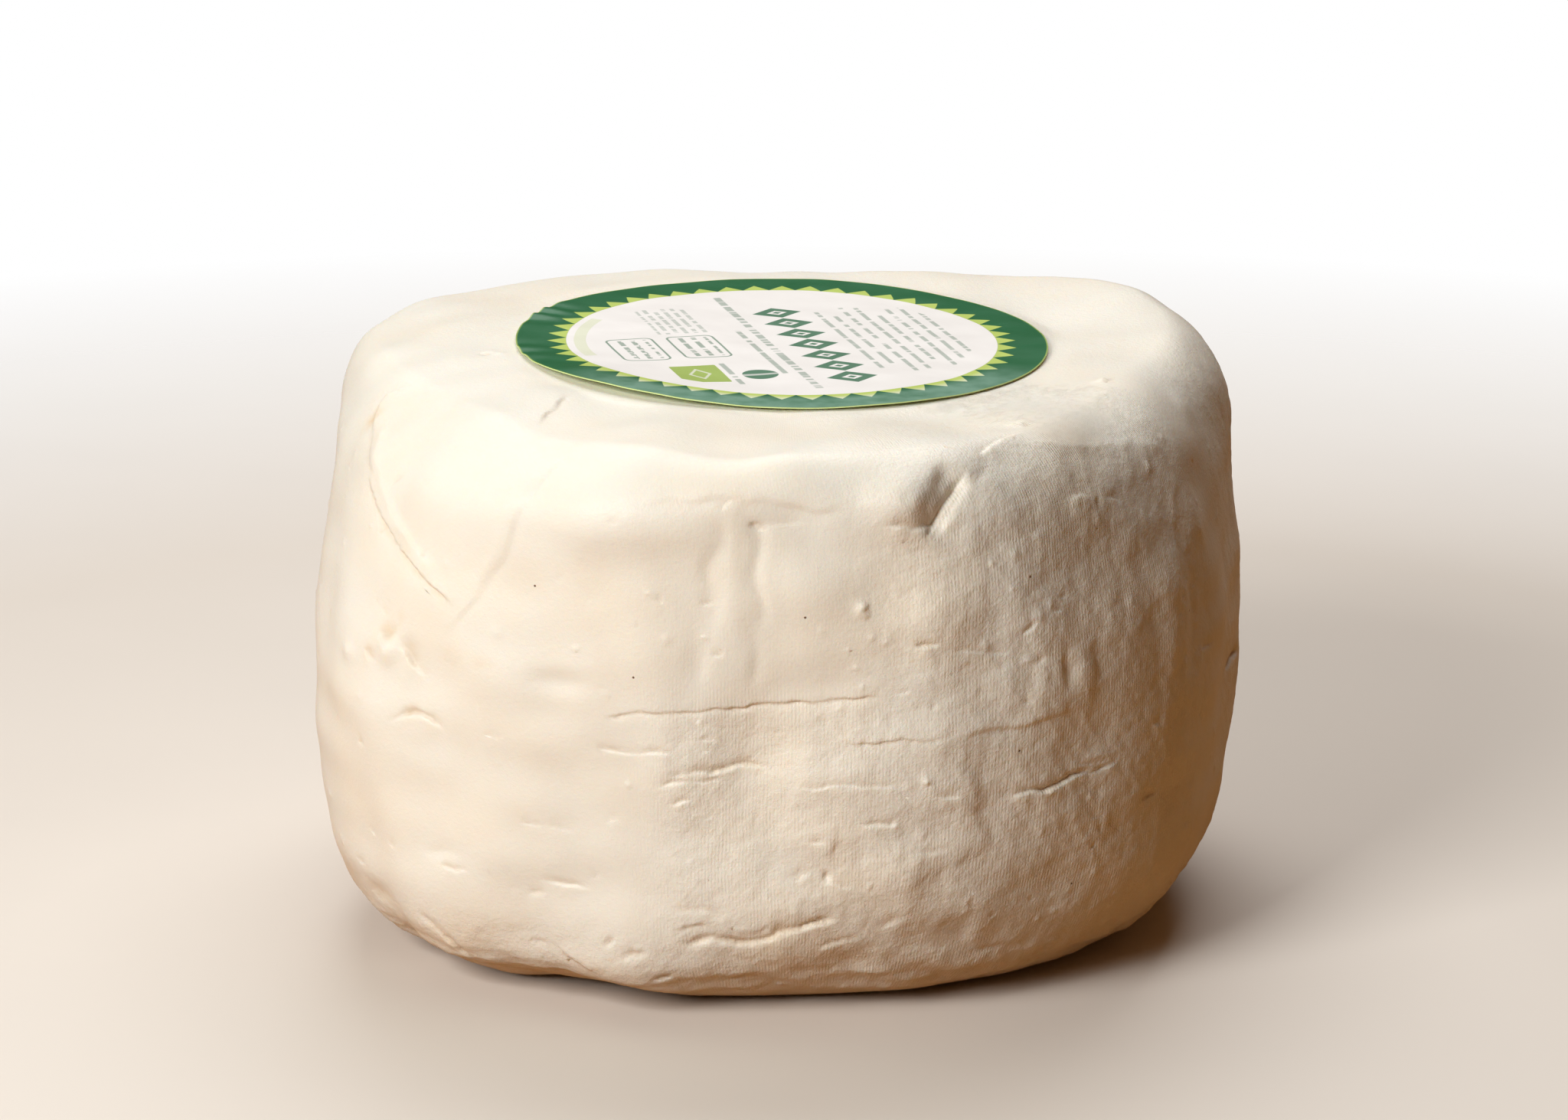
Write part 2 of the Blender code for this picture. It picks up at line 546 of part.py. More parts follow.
def make_label():
    """The paper label: a thin wavy disc, green round its border and white inside."""
    turn = np.linspace(0.0, 2.0 * math.pi, LABEL_COLUMNS, endpoint=False)
    x = np.array([share * LABEL_RADIUS * np.cos(turn) for share in LABEL_RINGS])
    y = np.array([share * LABEL_RADIUS * np.sin(turn) for share in LABEL_RINGS])
    under = np.stack([x + LABEL_CENTRE[0], y + LABEL_CENTRE[1], label_height(x, y)], axis=-1)
    over = under + np.array([0.0, 0.0, LABEL_THICKNESS])
    middle = np.array([*LABEL_CENTRE, label_height(0.0, 0.0)])
    grid = np.concatenate([under, over[::-1]])
    mesh = closed_mesh("label", grid, middle, middle + np.array([0.0, 0.0, LABEL_THICKNESS]))
    mesh.set_sharp_from_angle(angle=SHARP_ANGLE)
    label = new_object("label", mesh)
    mesh.materials.append(finish("paper_white", PAPER_WHITE, PAPER_ROUGHNESS))
    mesh.materials.append(finish("print_green", PRINT_GREEN, PAPER_ROUGHNESS))
    for face in mesh.polygons:
        reach = math.hypot(face.center.x - LABEL_CENTRE[0], face.center.y - LABEL_CENTRE[1])
        face.material_index = int(reach > LABEL_RING * LABEL_RADIUS)
    return label


def centre_on_base(pieces):
    """Move the pieces together so that the box round them all is centred over the origin."""
    corners = np.array([vertex.co[:] for piece in pieces for vertex in piece.data.vertices])
    middle = 0.5 * (corners.min(axis=0) + corners.max(axis=0))
    for piece in pieces:
        for vertex in piece.data.vertices:
            vertex.co.x -= middle[0]
            vertex.co.y -= middle[1]


def main():
    for old in list(bpy.data.objects):
        bpy.data.objects.remove(old, do_unlink=True)
    centre_on_base([make_wheel(), make_label()])


main()
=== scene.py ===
"""The looks of an aged ricotta: the hand-pressed wheel, its round paper label and a plain studio.

The file is laid out as an add-on. Each piece has its own operator, the panel in the sidebar lists them,
and the property groups hold the sizes and colours that a user would change. Lengths are in metres, +Z is up.
Places in the tables are in degrees round the wheel, counted from +X, and in millimetres.
"""

import math

import bpy
import numpy as np
from bpy.props import FloatProperty, FloatVectorProperty, IntProperty, PointerProperty
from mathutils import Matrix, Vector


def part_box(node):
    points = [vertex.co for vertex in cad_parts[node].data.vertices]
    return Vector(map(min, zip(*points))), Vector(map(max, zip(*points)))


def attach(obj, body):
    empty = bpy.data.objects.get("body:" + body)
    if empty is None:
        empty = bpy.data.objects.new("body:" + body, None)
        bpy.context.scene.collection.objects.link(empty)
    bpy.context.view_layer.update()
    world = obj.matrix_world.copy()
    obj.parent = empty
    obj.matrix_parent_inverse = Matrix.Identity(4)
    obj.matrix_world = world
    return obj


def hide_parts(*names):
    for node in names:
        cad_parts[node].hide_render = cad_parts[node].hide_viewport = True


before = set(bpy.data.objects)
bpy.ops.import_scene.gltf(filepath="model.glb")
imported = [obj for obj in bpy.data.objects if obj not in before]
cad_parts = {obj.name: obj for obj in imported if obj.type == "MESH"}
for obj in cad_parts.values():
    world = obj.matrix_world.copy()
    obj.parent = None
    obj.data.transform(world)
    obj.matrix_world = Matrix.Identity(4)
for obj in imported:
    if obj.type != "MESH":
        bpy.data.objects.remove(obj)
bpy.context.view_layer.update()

bl_info = {
    "name": "Aged ricotta",
    "version": (1, 0, 0),
    "blender": (4, 5, 0),
    "location": "3D View > Sidebar > Ricotta",
    "description": "Makes a hand-pressed ricotta wheel, its paper label and a studio round them",
    "category": "Object",
}

MM = 0.001
TURN = 2.0 * math.pi
FRONT = math.radians(270.0)
ROUND_CORNER = math.sqrt(0.5)  # weight that bends a corner into a circle's quarter

# Hand pressing leaves each level out of round: (crests round the ring, depth in mm, degrees of a crest).
BROW_LOBES = ((1, 0.6, 96), (3, 8.6, 33), (4, 1.7, -44))
BELLY_LOBES = ((1, 1.3, -18), (2, 1.9, 68), (3, 2.3, -14.5), (4, 3.8, 32))
FOOT_LOBES = ((1, 1.3, -159), (2, 1.5, 69), (3, 2.4, -26), (4, 0.9, 44))

RIM_SLOPE = (0.015, 0.009)  # rise of the crown's rim for each metre along X and Y
SEAT_SLOPE = (-0.018, 0.018)  # the same for the seat under the label, which leans its own way
SEAT_OUT_TO = 84.0 * MM  # distance from the label's centre at which the seat has run out into the rim
LABEL_CENTRE = (1.0 * MM, 6.0 * MM)  # before the wheel is centred
PRESSED_RIM = 1.0 * MM  # the seat stays true this far out beyond the paper
LIFT_FROM, LIFT_TO = 229.0, 257.0  # the stretch of the foot that stands clear of the table
LIFT_INSET = 9.0 * MM
LIFT_FADE = 12.0 * MM
RELIEF_OVER_BASE = 6.0 * MM
RELIEF_FROM_LABEL, RELIEF_FULL_FROM_LABEL = 0.5 * MM, 5.0 * MM

# Fineness of the wheel's grid, and the triangles left once its even stretches are merged.
COLUMNS = 1080
FRONT_CROWDING = 0.58  # how much closer together the columns stand in front
FOOT_RINGS, WALL_RINGS, SHOULDER_RINGS, RIM_RINGS = 90, 290, 70, 44
BASE_RINGS = 7
CENTRE_RINGS = 6
RIM_SHARE = 0.60  # the fine rings of the crown stop at this share of its radius, under the label
WHEEL_TRIANGLES = 192000

# Folds in the wall: (degrees, mm up) along the line, then in mm the groove's depth and half width, and how
# far the skin stands proud on the line's left (above, where it runs with the degrees) and on its right.
WALL_CREASES = (
    # The long crease across the front.
    (((249.7, 60.7), (252, 61.9), (255.8, 62.6), (263.4, 63.5), (267.9, 64.3), (274, 65.2), (278.3, 65.9),
      (279.8, 66.6), (282.3, 66.2)), 0.36, 0.28, 0.12, 0.04),
    (((282.9, 67.2), (285.2, 67.8)), 0.2, 0.3, 0, 0.13),
    (((248.3, 54.8), (252.4, 54.6), (256.5, 54.7), (258.8, 55.2)), 0.35, 0.3, 0, 0.12),
    # The bundle of short strong folds below it.
    (((256.9, 50.3), (260.5, 51.2), (263.5, 51.9), (265.2, 52.5), (267.5, 52.6), (269.7, 52.1)),
      0.6, 0.34, 0, 0.27),
    (((255.7, 47.5), (257.5, 49.1), (259, 49.7), (261.2, 49.7), (264.3, 49.8)), 0.47, 0.32, 0, 0.17),
    (((257.4, 45.1), (260.5, 46.1)), 0.29, 0.3, 0, 0.15),
    (((260.6, 57.3), (263.4, 57.9)), 0.2, 0.3, 0, 0.08),
    (((277.2, 57.9), (279.2, 57.5), (280.9, 57.6), (283.5, 58.5), (287.8, 58.1), (290.1, 58.8)),
      0.25, 0.3, 0.27, 0),
    (((279.2, 56.6), (282.7, 56.6)), 0.2, 0.3, 0, 0),
    (((271, 49), (274, 49.2), (277.8, 49.9), (285, 49.3)), 0.23, 0.3, 0, 0.15),
    (((287.2, 47.4), (289.5, 47), (291.8, 46.9)), 0.22, 0.3, 0, 0.17),
    (((279, 42.1), (281, 42.2), (283.9, 41.6)), 0.41, 0.28, 0, 0.17),
    (((273.6, 38.2), (275.9, 37.9)), 0.25, 0.3, 0, 0.11),
    (((283.8, 36), (286.4, 36), (290.6, 36.3)), 0.2, 0.3, 0, 0.11),
    (((267.5, 45.5), (267.6, 42), (267.4, 37.6)), 0.13, 0.3, 0, 0),
    # The crease on the right, with a bright lower lip.
    (((296.4, 45), (299.1, 45.6), (299.8, 45.9), (301.4, 45.5), (302.8, 45.7), (304.5, 46.4), (306.2, 46.6),
      (309.7, 46.6), (312.5, 47.6)), 0.7, 0.3, 0.07, 0.31),
    (((305.4, 48.9), (307.5, 48.6), (309.6, 48), (312.1, 48.4)), 0.14, 0.35, 0, 0.18),
    (((285, 75.7), (287.6, 75.5), (288.5, 76.5)), 0.5, 0.3, 0, 0.21),
    (((288.9, 75), (291.3, 74.3), (294.3, 73.3), (297.5, 72.9)), 0.18, 0.3, 0, 0.1),
    (((298.2, 75.5), (298.9, 76.3), (300.6, 78.3)), 0.52, 0.3, 0, 0.25),
    (((302.2, 78.7), (304.4, 79.3)), 0.26, 0.3, 0, 0.18),
    (((282.5, 76.8), (284.4, 76.1)), 0.16, 0.3, 0, 0.07),
    (((316.5, 37.6), (318.8, 38.4), (321, 38)), 0.22, 0.4, 0, 0.13),
    (((328.6, 61.9), (333, 61.6), (337.4, 60.9)), 0.2, 0.5, 0, 0.07),
    (((309.8, 35.6), (310.6, 33.8)), 0.23, 0.35, 0, 0.14),
    (((312.5, 97.8), (312.2, 96.2), (312, 94.4)), 0.4, 0.35, 0, 0.13),
    (((306.7, 98.7), (309.5, 98.5), (311.7, 97.3)), 0.2, 0.35, 0, 0.18),
    (((313.4, 96.6), (315.5, 96.2), (317.9, 95)), 0.2, 0.35, 0, 0.16),
    # The hooked crease on the left, with a swelling inside it.
    (((222.2, 53.2), (223.7, 55.6), (225.8, 57.2), (227.4, 56.7), (229.4, 55.1), (230.3, 53.7)),
      0.6, 0.34, 0, 0.33),
    (((217.6, 75.9), (219.6, 74.7), (221.4, 73.3)), 0.25, 0.3, 0, 0.1),
    (((219.6, 71), (220.8, 70.3), (221.8, 70.6), (222.9, 72.6)), 1.3, 0.6, 0.13, 0.33),
    (((217.4, 66.6), (218.9, 65.6), (220, 64.4)), 0.4, 0.45, 0, 0.2),
    (((234.9, 55), (236.5, 54.9), (238, 55.2)), 0.2, 0.35, 0, 0.07),
    (((229.5, 68.4), (231.6, 66.8)), 0.22, 0.35, 0.07, 0.07),
    # The flap whose curved edge runs down the left shoulder.
    (((209.6, 95.2), (211.3, 93), (215.4, 90.2), (219.3, 87.3), (222.9, 84.6), (226.3, 81.7), (228.8, 80),
      (231.4, 78)), 0.55, 0.36, 0.49, 0),
    # Folds pressed into the foot.
    (((258.1, 17.3), (260, 17.5), (262.2, 19), (263.7, 18.2), (266.2, 17.7), (267.5, 18.3), (269.6, 19),
      (270.8, 20.7), (273.3, 21.7), (277.8, 22.7)), 0.9, 0.42, 0, 0.38),
    (((257.3, 20.7), (259.5, 21), (261.4, 21.3), (262.5, 19.9)), 0.41, 0.35, 0.07, 0),
    (((264.4, 19.9), (267, 20.2), (270.1, 21.3)), 0.27, 0.35, 0.05, 0),
    (((256.8, 23.8), (259.5, 24.6), (262, 24.8), (263.2, 23.2)), 0.29, 0.34, 0, 0.08),
    (((249.2, 15.4), (249.6, 16.8), (250.6, 17.9)), 0.41, 0.34, 0, 0.09),
    (((249.2, 13.3), (252.3, 15.2), (254.6, 16.1)), 0.54, 0.38, 0, 0.19),
    (((253.5, 9.8), (255.5, 10.3), (257.5, 11.3)), 0.45, 0.4, 0.09, 0.11),
    (((262.4, 7.4), (265.9, 8.7), (269.9, 8.9)), 0.32, 0.4, 0, 0.09),
    (((274, 16), (276.5, 17.1), (278.6, 18.1), (281.3, 19.3)), 0.41, 0.36, 0, 0.15),
    (((281.7, 18.4), (283.9, 21.5), (287, 24.3)), 0.18, 0.4, 0, 0.07),
    (((275.9, 30.4), (277.4, 29.8), (278.9, 29.4)), 0.29, 0.3, 0, 0.19),
    (((292.5, 24.9), (293.9, 23.4)), 0.36, 0.35, 0, 0.09),
    (((294.4, 12.1), (298, 12.6), (301.7, 12.5)), 0.22, 0.4, 0, 0.07),
    (((223.4, 17), (226.4, 14.6), (228.8, 10.5), (230.9, 5.4)), 0.45, 0.45, 0, 0.23),
    (((238.5, 15), (242.3, 14), (244.9, 11.4), (247.7, 9.4)), 0.3, 0.4, 0.1, 0),
    (((241.1, 27.9), (243.9, 27.4), (248.3, 26.4)), 0.38, 0.35, 0, 0.25),
    (((239.4, 24.2), (242.4, 25)), 0.3, 0.4, 0, 0.16),
    (((239.2, 39.2), (241.1, 38.6), (242.4, 38.2)), 0.38, 0.34, 0, 0.13),
    (((228.8, 27.2), (230.2, 27.4), (231.9, 26.9)), 0.38, 0.33, 0, 0.13),
    (((212.5, 22.2), (215, 21.8)), 0.3, 0.4, 0, 0.13),
)

# Wide soft hollows and steps in the wall, in the same numbers.
WALL_HOLLOWS = (
    # The thumb-wide ridge under the brow: a groove down each side, an arch over it and the brow above.
    (((263.7, 101), (263.1, 95), (262.8, 88), (261.4, 76), (260.2, 66.5)), 0.3, 1.9, 0, 0),
    (((267.6, 101), (268, 95), (267.6, 88), (268, 76), (267.2, 66.5)), 0.34, 1.7, 0, 0),
    (((267.3, 99.4), (267.8, 98.4), (267.9, 96.9)), 0.35, 0.5, 0, 0),
    (((263.6, 100.4), (264, 101.9), (264.9, 102.9), (266, 103.1), (267, 102.1)), 0.26, 0.6, 0, 0.12),
    (((267.8, 98.4), (270.6, 98.9), (274, 99)), 0.16, 0.8, 0, 0.22),
    (((253.5, 101.3), (257.2, 101.9), (265.3, 103.3), (273.7, 102.1), (279, 101)), 0.1, 1.3, 0.3, 0),
    # The deep dimple under the brow.
    (((293.6, 105.8), (292.2, 103.9), (290.2, 100.8), (288.4, 97.6), (286.8, 94.6)), 1.25, 1, -1, -2.9),
    (((289.2, 97), (286.8, 97.2), (284.6, 97.9), (281.6, 98.3)), 0.55, 0.7, 0.75, 0),
    (((292, 103.6), (294.2, 104.8), (296.4, 106.5), (297.6, 108.3)), 0.3, 1.2, 0, 0),
    # The ledge that the cloth's edge pressed along the right shoulder.
    (((295.6, 107.7), (297.4, 108.6), (299.1, 109), (301.2, 109.3), (303.4, 109.4), (306.4, 109.5)),
      0.3, 0.5, 0, 0.6),
    (((303, 108), (307.8, 107.1), (313.4, 105.9), (322.8, 103.3), (327.8, 101.2), (331, 100.2)),
      -0.14, 1.3, 0.16, 0),
    # A soft upright pleat on the right, and the facet that the cloth's hem left further round.
    (((305, 74), (304.8, 68.3), (304.3, 62.5)), 0.45, 1.3, 0.3, 0),
    (((277.4, 43), (277, 38.5), (276.6, 33.5)), 0.24, 0.9, 0, 0.22),
    (((308.8, 72.5), (308.8, 66)), 0.22, 0.9, 0.1, 0),
    (((299.6, 73), (299.4, 66), (298.6, 60)), 0.2, 1.4, 0.15, 0),
    (((289.8, 57.6), (294.9, 58.7), (298.3, 58.8), (301.6, 59.5), (306.5, 60)), 0, 1.1, 0.4, 0),
    (((292.5, 57), (293.8, 46), (294.5, 32)), 0, 4.2, 0, 0.7),
    (((304.5, 50), (306.5, 42), (308, 34)), -0.3, 2.8, 0, 0),
    (((332, 96), (329, 90), (326.9, 83), (324.7, 72.4), (323.6, 58)), 0, 1.5, 0, 0.25),
    # On the left: a soft edge down from the brow, and the plane beside the stained pit.
    (((242, 107), (241, 102.6), (239.8, 97.3), (237.8, 89.6), (235.8, 84.4), (233.9, 80), (229.5, 71.1)),
      0.12, 1.1, 0, 0.3),
    (((239, 104), (237.6, 95.8), (235.6, 88.2), (232.6, 81)), -0.16, 0.8, 0, 0),
    (((203.5, 103), (208.5, 99.4), (213.4, 95.4), (217, 91.6), (222, 87.6), (228, 83.4)), -0.45, 1.1, 0, 0),
    (((222.6, 71.2), (224.2, 68.2), (225.6, 65.4), (227.6, 63.6)), 0.7, 0.8, 0, 1.1),
    (((226, 30.2), (229.1, 29.8), (232.5, 31)), 0.25, 1.5, 0, 0.3),
    (((241.5, 38.4), (246.8, 38)), 0.12, 0.9, 0, 0.1),
    (((198, 108), (196.5, 104.6), (203, 100.4), (212, 94.8)), 0.1, 0.9, 0.5, 0),
)

# Cracks in the crown: (degrees, mm from the middle) along the line, then as for the wall.
CROWN_FOLDS = (
    (((223, 52.5), (225, 56), (230, 66), (231.5, 72.1)), 0.35, 0.34, 0, 0.25),
    (((184, 58), (186.5, 55.5)), 0.4, 0.45, 0.3, 0),
    (((337, 68.5), (341, 66.5)), 0.4, 0.45, 0.4, 0),
    (((307.5, 75), (309.5, 73)), 0.4, 0.45, 0.3, 0),
)

# How a fold is cut. All of them wander a little off their lines, and their depth comes and goes.
FINE_FOLD = 1.0 * MM  # a groove narrower than this is a sharp, ragged crease
# The deeper the groove, the darker the painted shade inside it, up to this depth.
DARK_DEPTH = 0.9 * MM  # a groove this deep is quite dark inside
ROLLED_SIDE = 2.4  # how much wider a crease is on the side where the skin rolls over into it
CREASE_SHAPE, HOLLOW_SHAPE = 1.35, 2.0  # the less, the more pointed the groove's bottom
FOLD_FADE = 5.0 * MM  # stretch over which a fold runs out at its ends
CREASE_WANDER = ((2.2 * MM, 0.07 * MM, 31), (8.0 * MM, 0.16 * MM, 32))  # wavelength, height and seed
HOLLOW_WANDER = (9.0 * MM, 34)  # wavelength and seed; a quarter of its half width to either side
CREASE_EBB = (0.90, 0.28, 7.0 * MM, 33, 0.3)  # mean share of the depth, its change, wavelength, seed, least
HOLLOW_EBB = (0.95, 0.22, 14.0 * MM, 35, 0.4)
MOST_EBB = 1.5

# Broad low swells and hollows where the hands turned and pressed the wheel: degrees, mm up, height in mm,
# and half width round and up the wheel.
HAND_PRESSES = (
    # The brow stands out left of the middle, and the wall is drawn in under it in the middle.
    (250, 100, 2.9, 14, 8),
    (236, 97.5, 2.1, 12, 7),
    (223, 96, 1.1, 12, 6.5),
    (210, 97, 1.7, 8, 7),
    (271, 97.5, -3.3, 11, 8),
    (270, 81, -0.9, 5, 10),
    (256, 78, 1.3, 8, 17),
    # A broad rib right of the middle, with a flatter face turned away to its right.
    (288, 79, 1.6, 7.5, 9),
    (288.5, 58, 1.9, 8.5, 12),
    (284, 31, 1.3, 6, 6),
    (308, 45, -1.5, 10, 15),
    (306, 24, -1.2, 11, 9),
    # The slanting ridge on the far right.
    (324, 70, 1.5, 6, 12),
    (332, 86, 1.4, 7, 9),
    (335, 98, 1, 15, 8),
    # The palm's hollow low on the left.
    (235, 46, -2.1, 25, 20),
    (226, 64, -1.1, 10, 7),
    (243, 62, -0.9, 7, 7),
    (246, 25, -1.1, 14, 7),
    (267, 54, -1.5, 7, 9),
    (262, 42, -1, 12, 8),
    (292, 16, -1.1, 8, 6),
    (250, 10, 1.7, 30, 7),
)

# Smaller swellings and dents in the wall, in the same numbers.
WALL_SWELLS = (
    (284.2, 101.6, 2.2, 6.2, 5.2),  # the cushion beside the deep dimple
    (265, 89, 0.22, 1.9, 12),  # the thumb-wide ridge
    (271.8, 92, 0.18, 3, 8),
    (244.6, 66.9, -0.85, 6.5, 2.3),  # a shallow dimple
    (248.7, 83.7, -0.15, 2.5, 2),
    (226.2, 53, 0.35, 3.6, 2.6),
    (221.6, 67, 0.8, 2, 2.6),
    (214.5, 64.5, 0.6, 2.2, 1.8),
    (246.6, 73.6, 0.22, 0.6, 0.6),
    (307.2, 64, 0.32, 2.2, 4.6),  # crest beside the upright pleat
    (295.5, 67, 0.25, 3, 4),
    (309.5, 49.6, 0.22, 3, 0.8),
    (294.8, 17.8, 0.6, 2.2, 3.6),  # a lump low on the right
    (280.9, 39, 0.2, 2.4, 2.6),
    (275.9, 31.3, -0.7, 0.7, 1),
    (267.3, 98.6, -0.4, 0.6, 0.6),
    (279.5, 82.8, 0.55, 1.1, 1.4),  # a clinging flake
    (279.9, 83.5, 0.35, 0.7, 0.6),
    (280.1, 81.8, 0.25, 0.6, 0.5),
    (280.7, 77.6, 0.22, 0.7, 0.5),
    (278.1, 75.5, 0.18, 0.5, 0.4),
    (282.2, 76.8, 0.18, 0.7, 0.5),
    (279, 72, 0.24, 0.5, 0.5),
    (279.7, 68.4, 0.22, 0.4, 0.5),
    (261.8, 77.3, 0.2, 0.7, 0.4),
    (255.4, 85.2, 0.15, 0.5, 0.4),
    (286.9, 50.2, 0.4, 0.65, 0.6),
    (292.6, 8.9, 0.25, 1.1, 0.6),
    (305.4, 18.7, 0.3, 0.6, 0.5),
    (308.4, 17.6, 0.25, 0.4, 0.4),
    (270.5, 6, 0.25, 0.5, 0.5),
    (345.4, 103.3, 0.5, 4, 3),
    (325.5, 98.6, 0.3, 0.7, 1.5),
    (215.8, 16.3, -0.5, 4, 3),
    (350, 45, -1, 16, 18),
    (20, 70, -0.8, 14, 16),
    (48, 30, 0.8, 12, 9),
    (75, 82, -1, 9, 8),
    (112, 56, -0.8, 20, 8),
    (150, 84, 0.8, 12, 9),
    (172, 40, -0.7, 12, 14),
)

# Swellings and dents in the crown: degrees, mm from the middle, height in mm, half width in mm.
CROWN_SWELLS = (
    (322, 78, -1.4, 20),
    (306, 73, -0.45, 3.2),
    (63, 80, -0.9, 17),
    (28, 84, 0.5, 13),
    (170, 78, -0.5, 14),
    (300, 70, -0.4, 9),
    (339, 67, 0.4, 1.4),
    (309, 72, 0.35, 1.2),
    (186, 54.5, 0.3, 0.9),
)

# Folds scattered round the unseen side, like those in front.
BACK_FOLD_SEED = 11
BACK_FOLDS = 14
BACK_FROM, BACK_TO = 352.0, 555.0
UPRIGHT_AMONG = 5  # one fold in this many stands upright

# Short shallow tears and pressed-up crumbs, scattered all over.
NICK_SEED = 5
NICKS = 160
PIMPLES = 170
PIMPLED = (284.0, 345.0)  # the stretch of the wall that has more of them
DEGREE_OF_WALL = 1.6  # mm of the wall to a degree

# Layers of unevenness: wavelength, height and random seed.
LUMPS = ((34.0 * MM, 0.35 * MM, 3), (15.0 * MM, 0.12 * MM, 4))
WAVES_IN_A_LAYER = 14
# Crumbs of curd just under the skin.
CRUMBS = ((6.5 * MM, 0.036 * MM, 21), (3.2 * MM, 0.030 * MM, 22), (1.8 * MM, 0.020 * MM, 23))
# Where they show most, as stretches in degrees round and mm up; each end is a soft step.
CRUMBLY_RIGHT = ((272.0, 292.0), (326.0, 340.0))
CRUMBLY_FRONT, CRUMBLY_FRONT_TOP = ((252.0, 262.0), (284.0, 292.0)), (58.0, 68.0)
CRUMBLY_FOOT_TOP = (14.0, 24.0)
CRUMBLY_ANYWHERE = 0.16
# The same for the shoulder where the cloth's threads bit deepest.
RIBBED_ROUND, RIBBED_UP = ((302.0, 310.0), (334.0, 340.0)), ((102.5, 105.5), (109.2, 110.2))
# Upright pleats that the cloth left, much longer than they are wide.
PLEATS = ((7.0 * MM, 0.045 * MM, 51), (3.2 * MM, 0.014 * MM, 52))
PLEAT_STRETCH = 0.22
# Streaks along the foot, where the wheel was dragged and turned.
STREAKS = ((5.0 * MM, 0.15 * MM, 61), (2.6 * MM, 0.08 * MM, 62))
STREAK_STRETCH = 0.30
STREAKS_UP_TO = 16.0

# Discoloured spots: degrees, mm up, half width round and up the wheel in mm, strength.
STAINS = (
    (199.3, 102.3, 1.8, 2.4, 0.9),
    (221.4, 71, 1.5, 1.3, 1),
    (218.6, 66.4, 1.5, 0.9, 0.45),
    (223, 73.8, 0.5, 1.6, 0.5),
    (235.4, 68.9, 2.6, 1, 0.45),
    (231, 69, 3, 2, 0.25),
    (215.8, 16.3, 5, 3, 0.45),
    (204, 17, 13, 6, 0.4),
    (222, 11, 12, 4.5, 0.45),
    (238, 5, 16, 3.4, 0.6),
    (248, 11, 5, 3, 0.3),
    (95, 22, 6, 3, 0.4),
    (140, 70, 2, 1.6, 0.55),
    (35, 12, 9, 2.5, 0.35),
)

# Pinholes: degrees, mm up.
PINHOLES = (
    (240.6, 84.3), (252.7, 69.3), (272.0, 81.6), (296.5, 54.0), (298.3, 86.2), (326.6, 70.6),
    (305.8, 24.4), (20.0, 61.0), (66.0, 44.0), (101.0, 78.0), (133.0, 33.0), (168.0, 88.0), (186.0, 52.0),
)
PINHOLE_RADIUS = 0.20 * MM
PINHOLE_SOFT = 0.12 * MM
PINHOLE_DEPTH = 0.10 * MM
PINHOLE_ARM = 90.0 * MM  # the wall's radius, near enough
FINE_GRAIN = 0.30  # depth of the finest grain, as a share of the grain's
SKIN_SHINE, PAPER_SHINE = 0.35, 0.1
SCATTER_BY_COLOUR = (1.0, 0.62, 0.36)  # red light travels furthest inside the curd

# The threads' marks: they slant over the shoulder, and are broken into patches.
SLANT_FROM = 0.100  # height at which the threads start to slant
SLANT = 2500.0  # how fast they slant there, in radians for each metre
THREAD_DRIFT = 9.0  # how far they stray sideways, in radians of their own wave
SHOULDER_BITE = 3.0  # how much deeper they are on the ribbed shoulder

# The label's paper: slow waves, the edge that has come loose and the edge that has cockled, in degrees.
LABEL_COLUMNS, LABEL_FIELD_RINGS, LABEL_RIM_RINGS = 300, 22, 30
LABEL_RIM_FROM = 0.78  # share of the radius from which its rings stand closer
LABEL_WAVES = 5.0  # crests round the label's edge
LABEL_WAVE_TURN = 1.0
CURL_AT, CURL_SPREAD, CURL_INSET = 235.0, 46.0, 22.0 * MM
COCKLE_AT, COCKLE_SPREAD, COCKLE_INSET = 172.0, 48.0, 9.0 * MM
COCKLES = 33.0  # how many would go right round
PAPER_UNEVEN = ((13.0 * MM, 0.03 * MM, 41),)  # a layer, as for the wheel
PAPER_DENTS, PAPER_FIBRE = 0.10 * MM, 0.003 * MM  # relief of the paper's dents and of its fibres
SHARP_FOLD = math.radians(50.0)
CUT_EDGE_SLOPE = 0.5  # faces that look up less than this are the paper's edge and underside

# The label's print: across the rows and along them, in mm from the label's centre.
BAND_AT, BAND_HALF = 5.4, 5.0
BAND_FROM, BAND_TO = -27.0, 34.4
BAND_MOTIFS = 7
LOZENGE_SHARE = 0.46  # of the band's pitch
ROWS_FROM, ROWS_PITCH, ROWS = 13.2, 2.95, 8
ROWS_TO = ROWS_FROM + ROWS_PITCH * (ROWS - 0.5)
ROW_HALF = 0.48
ROW_MIDDLE, ROW_SHORTEST, ROW_SPREAD = 2.0, 18.0, 9.0
SINGLE_ROWS = ((-3.2, -44.0, 41.0, 0.75), (-6.4, -10.0, 25.0, 0.55), (-16.6, 15.0, 31.0, 0.55))
PANEL = (-22.7, 22.3, 4.6, 6.6)
DISC = (-11.3, 24.4, 3.5)
FRAMES = ((-29.5, 1.0, 4.6, 8.6), (-17.2, 1.0, 4.6, 8.6))
FRAME_ROUNDING = 1.6
BAR_PITCH = 2.6  # of the bars inside the frames
BLOCK = (-17.0, -20.0, 5.5, 10.0)
BLOCK_PITCH = 1.9  # of its fine rows
PRINT_RADIUS = 37.5
ARC_FROM, ARC_TO, ARC_HALF_TURN = 38.6, 41.0, 0.38
CRISP = 0.12  # softness of a printed edge, in mm
PAINTED_SHEEN_AT, PAINTED_SHEEN_HALF_TURN = math.radians(-82.0), 0.95  # the stretch of the border in front that has a painted pale sheen
WORN_PAPER = (0.70, 0.68, 0.62)
WORN_BORDER = (0.02, 0.19, 0.085)

